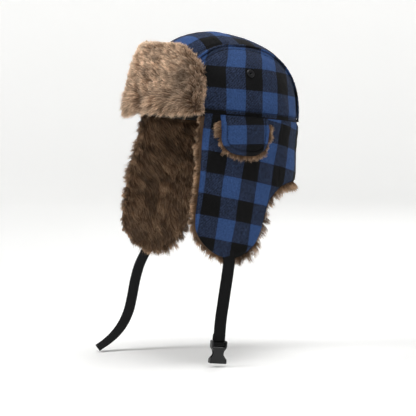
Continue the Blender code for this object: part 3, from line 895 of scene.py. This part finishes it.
def skirt_shell(name, g, n, h, e, uv):
    """Padded flannel of relief h over the grid g, thinner toward its free edge at distance e."""
    under = 0.0044 - 0.0014 * np.exp(-(e / 0.003) ** 2)
    return outward(shell(name, tip(g + n * h[..., None]), tip(g - n * under[..., None]), CHECK, uv))


def flap_fold(side):
    """Where the fold of an ear flap starts and ends, just below the band's seam."""
    return tuple(tip((side * 0.09, 0.0, -0.001))), tuple(tip((side * 0.09, 0.0, -0.016)))


for side, word in ((1, "left"), (-1, "right")):
    y, z = flap_yz(150, 150)
    g = flap_surface(side, y, z, 0.0)
    n = turned(normals_of(g), side)
    e = edge_distance(g)
    uv = skirt_uv(y, z, (0, 0) if side == 1 else (0.31, 0.2))
    # flat at the band's seam, and pressed in a little under the ear cover
    h = skirt_relief(g, e, 31) * smooth(-z / 0.006) - 0.0007 * np.exp(z / 0.0014)
    h = h - smooth((edge_in_cover(y, z) + 0.004) / 0.010) * 0.0010
    ob = skirt_shell(f"flannel_earflap_{word}", g, n, h, e, uv)
    piece(ob, blend=("crown", f"earflap_{word}", *flap_fold(side)),
          stands_for=[f"earflap_shell_{word}", f"earflap_padding_{word}"])

start_t = math.asin((SPLIT_Y / B) ** (PLAN / 2.0))
CT = np.linspace(start_t, math.pi - start_t, 230)
# the curtain's hem: y, and z there
CURTAIN_HEM = ((0.0456, 0.050, 0.058, 0.068, 0.081, 0.110),
               (-0.0903, -0.0868, -0.082, -0.0785, -0.076, -0.075))
CURTAIN_MID = np.array([0, 0.03, -0.04])


def curtain_surface(d, nv, grow=0.0, top=-0.0005):
    y = (B - d) * np.abs(np.sin(CT)) ** (2.0 / PLAN)
    x = (A - d) * power(np.cos(CT), PLAN)
    hem = np.interp(y + d, *CURTAIN_HEM) - grow
    f = np.linspace(0, 1, nv)[None]
    z = top + (hem[:, None] - top) * f
    yy = np.broadcast_to(y[:, None], z.shape)
    xx = np.copysign(skirt_x(yy, z, d, np.abs(x)[:, None]), x[:, None])
    return np.stack([xx, yy + 0.0045 * smooth((yy - 0.050) / 0.045) * (-z / 0.075), z], -1)


g = curtain_surface(0.0, 90)
n = outward_normals(g, CURTAIN_MID)
e = edge_distance(g, first=False, last=False)
s = 0.0464 + arc_along(g, 0)[:, 30:31]
half = 0.5 * (s[0] + s[-1])
sm = np.minimum(s, 2 * half - s)
uv = skirt_uv(np.broadcast_to(sm, g.shape[:2]), g[..., 2])
uv[..., 0] = (0.993 * s - 0.112 * g[..., 2] * np.cos(math.pi * (s - s[0]) / (s[-1] - s[0])) + 0.0325) / 0.050
# a seam each side of the curtain's middle
du = arc_along(g, 0)
seams = [int(np.argmin(np.abs(g[:, 30, 0] - x0) + (g[:, 30, 1] < 0.02))) for x0 in (0.050, -0.050)]
h = skirt_relief(g, e, 31) * smooth(-g[..., 2] / 0.006) - 0.0007 * np.exp(g[..., 2] / 0.0014)
for c in seams:
    h = h + dent(np.abs(du - du[c][None]), 0.0, 0.0011, 0.0014)
piece(skirt_shell("flannel_neck_curtain", g, n, h, e, uv), "crown",
      stands_for=["neck_curtain_shell", "neck_curtain_padding"])


def edge_row(line, middle, inward, share=1.0):
    """A free edge for fur_cover: its points, the way out of the piece, and a share of the way inward."""
    out = np.cross(tangents(line), inward)
    return line, unit(out * np.sign(np.sum(out * (line - middle), -1).mean())), inward * share


# pile inside and along the edges: number of strands, their length in metres, strands to a lock
FLAP_PILE = {"counts": (6600, 4700), "lengths": (0.0120, 0.0076), "lock": 40}
CURTAIN_PILE = {"counts": (6200, 4600), "lengths": (0.0120, 0.0070), "lock": 36}
COVER_PILE = {"counts": (3000, 3600), "lengths": (0.0068, 0.0092), "lean_down": 1.2}
# depth below the flannel's base of the fur's own base: its back, and its face at the flap and the curtain
FUR_BACK, FLAP_FACE, CURTAIN_FACE = 0.0046, 0.0058, 0.0088


def fur_cover(name, inner_grid, back_grid, edge_rows, seed, out_sign, counts, lengths,
              lean_down=0.75, lock=30, more=0.0):
    """A fur layer: a base between two grids, pile over inner_grid, and pile of its own along its edges.

    counts and lengths are the strands' inside and along the edges; more lengthens the front edge's."""
    rng = np.random.default_rng(seed)
    base = slab(tip(back_grid), tip(inner_grid))
    roots, n, _, _ = grid_samples(inner_grid, counts[0], rng)
    n = n * out_sign
    swirl = np.stack([soft_noise(roots, seed + k, 0.04) for k in range(3)], -1)
    want = n * 0.55 + np.array([0, 0, -lean_down]) + swirl * 0.30 + rng.normal(size=n.shape) * 0.16
    all_roots, all_dir = [roots - n * 0.0008], [want]
    all_len, gather = [np.full(len(roots), lengths[0])], [np.full(len(roots), 0.24)]
    per = max(1, counts[1] // max(1, len(edge_rows)))
    for line, out, nin in edge_rows:
        p, i, f = scatter(line, per, rng)
        o = unit(out[i] * (1 - f) + out[i + 1] * f)
        m = nin[i]
        depth = rng.random(per)[:, None]
        all_roots.append(p + m * (depth * 0.0040) - o * 0.0010)
        rear = smooth((p[:, 1] + 0.045) / 0.05) * smooth((-0.05 - p[:, 2]) / 0.03)
        all_dir.append(o + m * (depth * 0.9 - 0.10 - 0.35 * rear[:, None]) + np.array([0, 0, -0.10])
                       + rng.normal(size=o.shape) * 0.30)
        tufts = 1.0 + 0.30 * soft_noise(p, seed + 9, 0.006)
        all_len.append(lengths[1] * rng.uniform(0.75, 1.15, per) * (0.82 + 0.90 * rear) * tufts
                       * (1.0 + more * smooth((p[:, 2] + 0.150) / 0.09) * smooth((-0.03 - p[:, 1]) / 0.02)))
        gather.append(np.full(per, 0.62))
    roots, want, length = np.concatenate(all_roots), np.concatenate(all_dir), np.concatenate(all_len)
    order = rng.permutation(len(roots))
    return strands(name, tip(roots[order]), tip(want)[order], length[order], 0.00022, rng, FUR_EDGE,
                   droop=(0, 0, -0.18), clump=np.concatenate(gather)[order], lock=lock, curl=0.07, base=base)


for side, word in ((1, "left"), (-1, "right")):
    yb, zb = flap_yz(60, 60, 0.0005, -0.0042)
    back = flap_surface(side, yb, zb, FUR_BACK)
    inner = flap_surface(side, yb, zb, FLAP_FACE + 0.0030 * smooth(edge_distance(back, hem=False) / 0.012))
    inner = lumpy(inner, 0.0010, 51 + side)
    n_in = -unit(turned(normals_of(back), side))
    mid = back[30, 27]
    rows = [edge_row(back[:, -1], mid, n_in[:, -1]), edge_row(back[0], mid, n_in[0])]
    sgn = np.sign(normals_of(inner)[..., 0].mean() * -side)
    ob = fur_cover(f"fur_earflap_{word}", inner, back, rows, 61 + side, sgn, **FLAP_PILE,
                   more=0.15 if side == 1 else 1.0)
    piece(ob, blend=("crown", f"earflap_{word}", *flap_fold(side)),
          stands_for=[f"earflap_fur_{word}"])

back = curtain_surface(FUR_BACK, 24, 0.0005, -0.0042)
inner = lumpy(curtain_surface(CURTAIN_FACE, 24, 0.0005, -0.0042), 0.0010, 71)
n_in = -outward_normals(back, CURTAIN_MID)
down = unit(np.array([[0, 0, -1.0]]) - 0.75 * n_in[:, -1])
sgn = np.sign(-np.sum(normals_of(inner) * (inner - CURTAIN_MID), -1).mean())
ob = fur_cover("fur_neck_curtain", inner, back, [(back[:, -1], down, n_in[:, -1])], 72, sgn, **CURTAIN_PILE)
piece(ob, "crown", stands_for=["neck_curtain_fur"])

# ---------------------------------------------------------------- ear covers

COVER_Y, COVER_HALF, COVER_SIDE, COVER_DROP = -0.016, 0.034, 0.027, 0.022
# how far its stitch line lies inside its edge
COVER_STITCH = 0.0066


def cover_lift(z, more=0.0):
    """Offset of the cover outside the ear flap: it leaves the band seam and stands off over the fur."""
    return -(0.0022 + 0.0040 * smooth(-z / 0.018)) + more * smooth(-z / 0.012)


def cover_yz(nu, nv, grow=0.0, top=-0.0012):
    t = np.linspace(0, math.pi, nu)
    t = t + 0.10 * np.sin(2 * t)
    y0 = COVER_Y - (COVER_HALF + grow) * np.cos(t)
    y1 = COVER_Y - (COVER_HALF + grow) * power(np.cos(t), 2.8)
    z1 = -(COVER_SIDE + (COVER_DROP + grow) * power(np.sin(t), 2.2))
    f = np.linspace(0, 1, nv)[None]
    return y0[:, None] + (y1 - y0)[:, None] * f, top + (z1[:, None] - top) * f


for side, word in ((1, "left"), (-1, "right")):
    y, z = cover_yz(110, 80)
    g = flap_surface(side, y, z, cover_lift(z))
    n = turned(normals_of(g), side)
    e = edge_distance(g, first=True, last=True)
    h = -0.0017 * np.exp(-((e / 0.0018) ** 2)) + 0.0010 * smooth(e / 0.012)
    h += dent(e, COVER_STITCH, 0.0009, 0.0010) + 0.0004 * np.exp(-(((e - 0.0036) / 0.0018) ** 2))
    h += smooth(e / 0.01) * 0.0006 * soft_noise(g, 81 + side, 0.03)
    yt = y * math.cos(TILT) + z * math.sin(TILT)
    zt = z * math.cos(TILT) - y * math.sin(TILT)
    u = (yt - 0.0076) / 0.0545
    v = np.where(zt > -0.010, 0.5 + (zt + 0.010) / 0.046, (zt + 0.033) / 0.046)
    # the hem's turned strip at the front is cut from another place in the check
    strip = (e < COVER_STITCH) & (y < COVER_Y)
    u = np.where(strip & (zt > -0.040), -0.75, u)
    v = np.where(strip & (zt > -0.034) & (np.abs(v - np.floor(v)) > 0.5), 0.46, v)
    under = 0.0012 + 0.0006 * smooth(e / 0.004)
    ob = outward(shell(f"flannel_ear_cover_{word}", tip(g + n * h[..., None]), tip(g - n * under[..., None]),
                       CHECK, np.stack([u, v], -1)))
    lift = (f"earflap_{word}", f"ear_cover_{word}", tuple(tip((side * 0.0985, COVER_Y, -0.003))),
            tuple(tip((side * 0.0985, COVER_Y, -0.010))))
    piece(ob, blend=lift,
          stands_for=[f"ear_cover_shell_{word}"])
    sy, sz = cover_yz(110, 80, -COVER_STITCH)
    sg = flap_surface(side, sy, sz, cover_lift(sz))
    line = np.concatenate([sg[0, 8:-1], sg[:, -1], sg[-1, 8:-1][::-1]])
    out = np.tile([[side, 0, 0.0]], (len(line), 1))
    ob = stitches(f"topstitch_ear_cover_{word}", tip(line + out * 0.0003), tip(out), None)
    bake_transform(ob)
    # fur under it
    yb, zb = cover_yz(70, 50, 0.0002, -0.009)
    back = flap_surface(side, yb, zb, cover_lift(zb, 0.0016))
    inner = lumpy(flap_surface(side, yb, zb, cover_lift(zb, 0.0030)), 0.0004, 91 + side)
    n_in = -unit(turned(normals_of(back), side))
    rows = [edge_row(back[at], back[35, 20], n_in[at], 0.35) for at in ((slice(None), -1), 0, -1)]
    sgn = np.sign(normals_of(inner)[..., 0].mean() * -side)
    ob = fur_cover(f"fur_ear_cover_{word}", inner, back, rows, 95 + side, sgn, **COVER_PILE)
    piece(ob, blend=lift,
          stands_for=[f"ear_cover_fur_{word}"])

# ---------------------------------------------------------------- visor

VISOR_JOIN_X, VISOR_END_Y, VISOR_TOP = 0.036, -0.070, 0.075
VISOR_MID = np.array([0, 0, 0.03])
# offsets from the crown of the flannel's two faces, and of the fur base's face and back
VISOR_CLOTH, VISOR_BASE = (0.0066, 0.0029), (0.0073, 0.0068)
VISOR_COUNTS, VISOR_PILE, VISOR_END_COUNT = (8700, 8000), 0.0180, 1200
# strands along the top and the bottom: way up or down, number, length
VISOR_EDGES = ((-1, 1.0, 1300, 0.0125), (0, -0.45, 900, 0.0062))
JOIN = np.array([VISOR_JOIN_X, -B * (1.0 - (VISOR_JOIN_X / A) ** PLAN) ** (1.0 / PLAN)])
END = np.array([float(half_width(np.array(VISOR_END_Y), 0.0)), VISOR_END_Y])
CHORD = (END - JOIN) / np.linalg.norm(END - JOIN)
MITRE = 0.5 * math.tan(0.5 * math.acos(CHORD[0]))


def plan_point(t, o):
    return np.array([(A + o) * power(math.sin(t), PLAN), -(B + o) * power(math.cos(t), PLAN)])


def angle_where(f, lo=0.02, hi=1.5):
    for _ in range(50):
        mid = 0.5 * (lo + hi)
        lo, hi = (mid, hi) if f(mid) < 0 else (lo, mid)
    return 0.5 * (lo + hi)


def visor_surface(part, o, nu, nv, top=VISOR_TOP, bottom=0.001):
    """Visor section part at offset o outside the crown; o is a number or one per row."""
    rows = []
    for f, oo in zip(np.linspace(0, 1, nv), np.broadcast_to(o, (nv,))):
        end = angle_where(lambda t: (plan_point(t, oo) - END) @ CHORD)
        join_c = angle_where(lambda t: plan_point(t, oo)[0] - (VISOR_JOIN_X - 0.0002 + MITRE * oo))
        join_s = angle_where(lambda t: (plan_point(t, oo) - JOIN) @ CHORD - (0.0002 - MITRE * oo))
        lo, hi = (-join_c, join_c) if part == 0 else (join_s, end)
        t = np.linspace(lo, hi, nu)
        at = np.abs(t)
        x = (A + oo) * power(np.sin(at), PLAN) * (np.sign(t) if part == 0 else part)
        y = -(B + oo) * power(np.cos(at), PLAN)
        left = (end - at) / end
        height = top * (1.0 - 0.38 * (1.0 - np.clip(left / 0.5, 0, 1)) ** 2)
        z = bottom + (height - bottom) * f
        lean = 1.0 - 0.115 * (z / 0.07) ** 1.8
        rows.append(np.stack([x * lean, y * lean, z], -1))
    return np.stack(rows, 1)


for part, word in ((0, "centre"), (1, "left"), (-1, "right")):
    body = f"visor_{word}"
    nu = 90 if part == 0 else 70
    # flannel facing the crown
    g = visor_surface(part, VISOR_CLOTH[0], nu, 60)
    gi = visor_surface(part, VISOR_CLOTH[1], nu, 60)
    n = outward_normals(g, VISOR_MID)
    s = arc_along(gi, 0)
    uv = np.stack([s / STRIPES + 0.1, gi[..., 2] / ROWS], -1)
    gi = gi - n * (0.0003 * soft_noise(gi, 101 + part, 0.03))[..., None]
    ob = outward(shell(f"flannel_visor_{word}", tip(g), tip(gi), CHECK, uv))
    piece(ob, body, stands_for=[f"visor_shell_{word}", f"visor_padding_{word}"])
    # fur facing out
    f = np.linspace(0, 1, 60)
    bulge = 0.0014 * np.sin(math.pi * np.clip(f * 1.04 - 0.02, 0, 1)) ** 0.6
    front = lumpy(visor_surface(part, VISOR_BASE[0] + bulge, nu, 60, VISOR_TOP + 0.001), 0.0009, 111, 0.016)
    back = visor_surface(part, VISOR_BASE[1], nu, 60, VISOR_TOP + 0.001)
    rng = np.random.default_rng(121 + part)
    count = VISOR_COUNTS[abs(part)]
    roots, nr, si, ti = grid_samples(front, count, rng)
    nr = nr * np.sign(np.sum(normals_of(front) * (front - VISOR_MID), -1).mean())
    up = ti / 59.0
    lean_z = 0.40 + 0.45 * smooth((up - 0.5) / 0.5) - 0.78 * smooth((0.30 - up) / 0.30)
    swirl = np.stack([soft_noise(roots, 131, 0.035), soft_noise(roots, 132, 0.035),
                      0.6 * soft_noise(roots, 133, 0.03)], -1)
    rise = 0.24 - 0.06 * smooth((up - 0.7) / 0.3) - 0.10 * smooth(-roots[:, 0] / 0.02)
    # the pile is combed toward the wearer's right
    comb = unit(np.cross(np.array([0, 0, 1.0]), nr))
    comb *= np.interp(roots[:, 0:1], (-0.06, -0.02, 0.02), (-0.28, -0.36, -0.72))
    if part:
        inward = smooth((nu - 1 - si) / (nu - 1) / 0.28)[:, None]
        comb *= 1.30 * inward - 0.30
        lean_z = lean_z + 0.25 * (1.0 - inward[:, 0])
    want = nr * rise[:, None] + np.array([0, 0, 1.0]) * lean_z[:, None] + comb + swirl * 0.15 \
        + rng.normal(size=nr.shape) * 0.08
    want = want + nr * np.maximum(0.09 - np.sum(want * nr, -1, keepdims=True), 0)
    lengths = np.full(count, VISOR_PILE)
    lengths *= 1.0 - 0.35 * smooth((-0.02 - roots[:, 0]) / 0.03)
    if part:
        lengths *= 0.35 + 0.65 * inward[:, 0]
    all_r, all_w, all_l = [roots - nr * 0.001], [want], [lengths]
    # painted shade: the side sections' pile is darker in a patch short of the visor's ends, halfway up, where
    # those sections turn away from the key light
    end_distance = (nu - 1 - si) / (nu - 1) * 0.075 if part else np.full(count, 1.0)
    tones_and_painted_shades = [1.0 - 0.66 * np.exp(-((end_distance - 0.024) / 0.022) ** 2 - ((up - 0.52) / 0.42) ** 2)]
    # the top edge, the bottom edge and the visor's ends
    for col, z_dir, num, ln in VISOR_EDGES:
        p, _, _ = scatter(front[:, col], num, rng)
        no = unit(p * np.array([1, 1, 0]))
        all_r.append(p - no * (rng.random(num)[:, None] * 0.0030) + np.array([0, 0, -0.001 * z_dir]))
        all_w.append(np.array([0, 0, z_dir]) + no * rng.uniform(0.15, 0.9, num)[:, None]
                     + rng.normal(size=p.shape) * 0.25)
        all_l.append(np.full(num, ln))
        tones_and_painted_shades.append(np.full(num, 0.95))
    if part:
        side_way, num = unit(front[-1] - front[-4]), VISOR_END_COUNT
        p, i, _ = scatter(front[-1], num, rng)
        no = unit(p * np.array([1, 1, 0]))
        all_r.append(p - no * (rng.random(num)[:, None] * 0.0030))
        all_w.append(side_way[i] * rng.uniform(0.5, 1.0, num)[:, None]
                     + no * rng.uniform(0.2, 0.9, num)[:, None]
                     + np.array([0, 0, -0.35]) + rng.normal(size=p.shape) * 0.25)
        all_l.append(0.0068 * rng.uniform(0.6, 1.2, num) * (1 + 0.35 * soft_noise(p, 141, 0.006)))
        tones_and_painted_shades.append(np.full(num, 0.80))
    roots, want, length = np.concatenate(all_r), np.concatenate(all_w), np.concatenate(all_l)
    order = rng.permutation(len(roots))
    ob = strands(f"fur_visor_{word}", tip(roots[order]), tip(want[order]), length[order], 0.00029, rng, FUR,
                 droop=(0, 0, -0.20), clump=0.44, curl=0.03, lock=14, base=slab(tip(front), tip(back)),
                 tone_and_painted_shade=np.concatenate(tones_and_painted_shades)[order])
    piece(ob, body, stands_for=[f"visor_fur_{word}"])

# ---------------------------------------------------------------- straps and buckle

WEB_W, WEB_T, RIB, PICK = 0.015, 0.0013, 0.00125, 0.0019
# the straps' routes in millimetres, from inside the flap to the end
LEFT = [(90.2, -43.6, -163.0), (90.9, -43.9, -170.0), (93, -44.5, -177.4), (93, -48.0, -200),
        (93, -52.4, -225), (93, -57.0, -250), (93, -59.4, -274.0)]
RIGHT = [(-90.4, -41.5, -163.0), (-91.0, -43.2, -170.0), (-93, -46, -177.4), (-93, -56, -195),
         (-93, -63, -215), (-93, -68, -236), (-93.3, -73, -254), (-94, -81, -270), (-95, -92, -283),
         (-95.5, -105, -292.5), (-96, -118.5, -299.5)]
ACROSS_LEFT, ACROSS_RIGHT = (0.25, 0.968, 0.0), (0.9, 0.43, 0.0)


def web_section(m=22):
    """Outline of the webbing across, with slightly thicker woven edges."""
    half = []
    for k in range(m + 1):
        x = -0.5 + k / m
        thick = 0.92 + 0.10 * math.exp(-((0.5 - abs(x)) / 0.07) ** 2)
        half.append((x * WEB_W, WEB_T * 0.5 * thick - 0.00009 * (k % 2)))
    edge = [(WEB_W / 2 + 0.00022, 0.0)]
    return np.array(half + edge + [(x, -y) for x, y in half[::-1]] + [(-WEB_W / 2 - 0.00022, 0.0)])


def webbing_rows(line, w, n, sec, along, wave=0.0):
    """Rings of webbing along line, and their rib and pick counts."""
    rows = line[:, None] + w[:, None] * sec[None, :, 0:1] + n[:, None] * (sec[None, :, 1:2] + wave)
    return rows, np.stack(np.broadcast_arrays(sec[None, :, 0] / RIB, along[:, None] / PICK), -1)


def webbing(name, route, across, slant=0.0):
    """A strap along route, its last 2 percent slanted by slant."""
    pts = np.array(route) * MM
    t = np.linspace(0, len(pts) - 1, 40 * (len(pts) - 1))
    line = resample(smooth_line(pts, t), 0.0016)
    run = tangents(line)
    w = np.asarray(across, float)[None]
    w = unit(w - run * np.sum(run * w, -1, keepdims=True))
    n = np.cross(run, w)
    s = np.linspace(0, 1, len(line))
    sec = web_section()
    rows, uv = webbing_rows(line, w, n, sec, running(line), 0.0004 * np.sin(s * 9.0)[:, None, None])
    if slant:
        shift = np.clip((s - 0.98) / 0.02, 0, 1)[:, None, None] * slant
        rows = rows + run[:, None] * shift * (sec[None, :, 0:1] / WEB_W * 2)
    ob = outward(tube(name, rows, WEB, uv, "weave"))
    return ob, line


left, left_line = webbing("webbing_left", LEFT, ACROSS_LEFT)
right, right_line = webbing("webbing_right", RIGHT, ACROSS_RIGHT, slant=0.0022)
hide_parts("strap_left")
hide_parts("strap_right")
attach(left, "strap_left")
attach(right, "strap_right")

# the strap's end round the buckle's bar, sewn back on itself
end, before = Vector(LEFT[-1]) * MM, Vector(LEFT[-2]) * MM
up = (before - end).normalized()
bx = Vector(ACROSS_LEFT)
bx = (bx - up * bx.dot(up)).normalized()
by = up.cross(bx)
BUCKLE = Matrix.Translation(end - up * 0.0034) @ Matrix((bx, by, up)).transposed().to_4x4()
r = 0.00205 + WEB_T / 2
turn = [math.pi + math.pi * k / 12 for k in range(13)]
path = [(-r, 0.0029), (-r, 0.0015)] + [(r * math.cos(a), r * math.sin(a)) for a in turn]
path += [(r, 0.002), (r - 0.0001, 0.004), (r - 0.0004, 0.008), (r - 0.0005, 0.0125)]
LOOP_STEP = 0.0007
loop_line = resample(np.array([(0.0, y, z) for y, z in path]), LOOP_STEP)
w = np.array([[1.0, 0, 0]])
rows, uv = webbing_rows(loop_line, w, np.cross(tangents(loop_line), w), web_section(),
                        np.linspace(0, len(loop_line) * LOOP_STEP, len(loop_line)))
mat = np.array(BUCKLE)
rows = rows @ mat[:3, :3].T + mat[:3, 3]
loop = outward(tube("webbing_left_fold", rows, WEB, uv, "weave"))
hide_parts("strap_left_buckle_loop")
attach(loop, "strap_left")
for k, zz in enumerate((0.0102, 0.0108)):
    q = np.stack(np.broadcast_arrays(np.linspace(-0.006, 0.006, 20), r - 0.0004 + WEB_T / 2, zz), -1)
    stitches(f"bar_tack_{k + 1}", q @ mat[:3, :3].T + mat[:3, 3], np.tile(mat[:3, 1][None], (20, 1)),
             "strap_left", pitch=0.0016, length=0.0014, radius=0.00022)

for name, m in (("buckle_socket", PLASTIC), ("vent_eyelet_left", METAL), ("vent_eyelet_right", METAL),
                ("vent_washer_left", METAL), ("vent_washer_right", METAL)):
    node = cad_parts[name]
    for slot in node.material_slots:
        slot.link = "OBJECT"
        slot.material = m


# ---------------------------------------------------------------- floor, backdrop and light

# a round paper dish: its rim lies beyond the camera at every angle
FLOOR_R, DISH_CURVE, DISH_TOP, FLOOR_Z = 3.0, 0.9, 1.2, -0.3045
arc = np.linspace(0.1, math.pi / 2, 14)
radii = np.concatenate([[0.6, 1.2, 1.8, 2.4, FLOOR_R], FLOOR_R + DISH_CURVE * np.sin(arc),
                        [FLOOR_R + DISH_CURVE]])
heights = np.concatenate([np.zeros(5), DISH_CURVE * (1 - np.cos(arc)), [DISH_TOP]])
AROUND = 96
around = np.arange(AROUND) * 2 * math.pi / AROUND
dish = np.stack([radii[:, None] * np.cos(around), radii[:, None] * np.sin(around),
                 np.repeat(heights[:, None], AROUND, 1)], -1)
i, j = np.arange(len(radii) - 1)[:, None] * AROUND, np.arange(AROUND)[None, :]
k = (j + 1) % AROUND
walls = np.stack([i + j, i + AROUND + j, i + AROUND + k, i + k], -1).reshape(-1, 4)
paper, t, s = new_material("backdrop_paper")
s.inputs["Base Color"].default_value = (0.90, 0.90, 0.89, 1.0)
s.inputs["Roughness"].default_value = 0.9
s.inputs["Emission Color"].default_value = (1.0, 1.0, 0.99, 1.0)
far = t.nodes.new("ShaderNodeVectorMath")
far.operation = "LENGTH"
link(t, object_coords(t), far.inputs[0])
# the paper glows a little more from 1.2 m out to 2.8 m, where the lights fall off
glow = times_plus(t, far.outputs["Value"], 1 / 1.6, -0.75, True)
link(t, times_plus(t, glow, 0.29, 0.05), s.inputs["Emission Strength"])
backdrop = make_mesh("backdrop", dish.reshape(-1, 3), [walls, np.arange(AROUND)[None]], paper)
backdrop.location = (0, 0, FLOOR_Z)

world = bpy.data.worlds.new("studio")
world.use_nodes = True
world.node_tree.nodes["Background"].inputs[0].default_value = (1.0, 1.0, 1.0, 1.0)
world.node_tree.nodes["Background"].inputs[1].default_value = 0.16
bpy.context.scene.world = world


def area_light(name, place, target, size, watts):
    data = bpy.data.lights.new(name, "AREA")
    data.shape, data.size, data.energy = "DISK", size, watts
    ob = bpy.data.objects.new(name, data)
    ob.location = place
    ob.rotation_euler = (Vector(target) - Vector(place)).to_track_quat("-Z", "Y").to_euler()
    bpy.context.scene.collection.objects.link(ob)
    return ob


area_light("key", (-0.9, -2.1, 1.9), (0, 0, -0.05), 1.1, 44.0)
area_light("overhead", (0.2, 0.1, 2.1), (0, 0, 0), 1.5, 40.0)
area_light("back", (-1.4, 1.7, 1.3), (0, 0, 0), 1.0, 14.0)
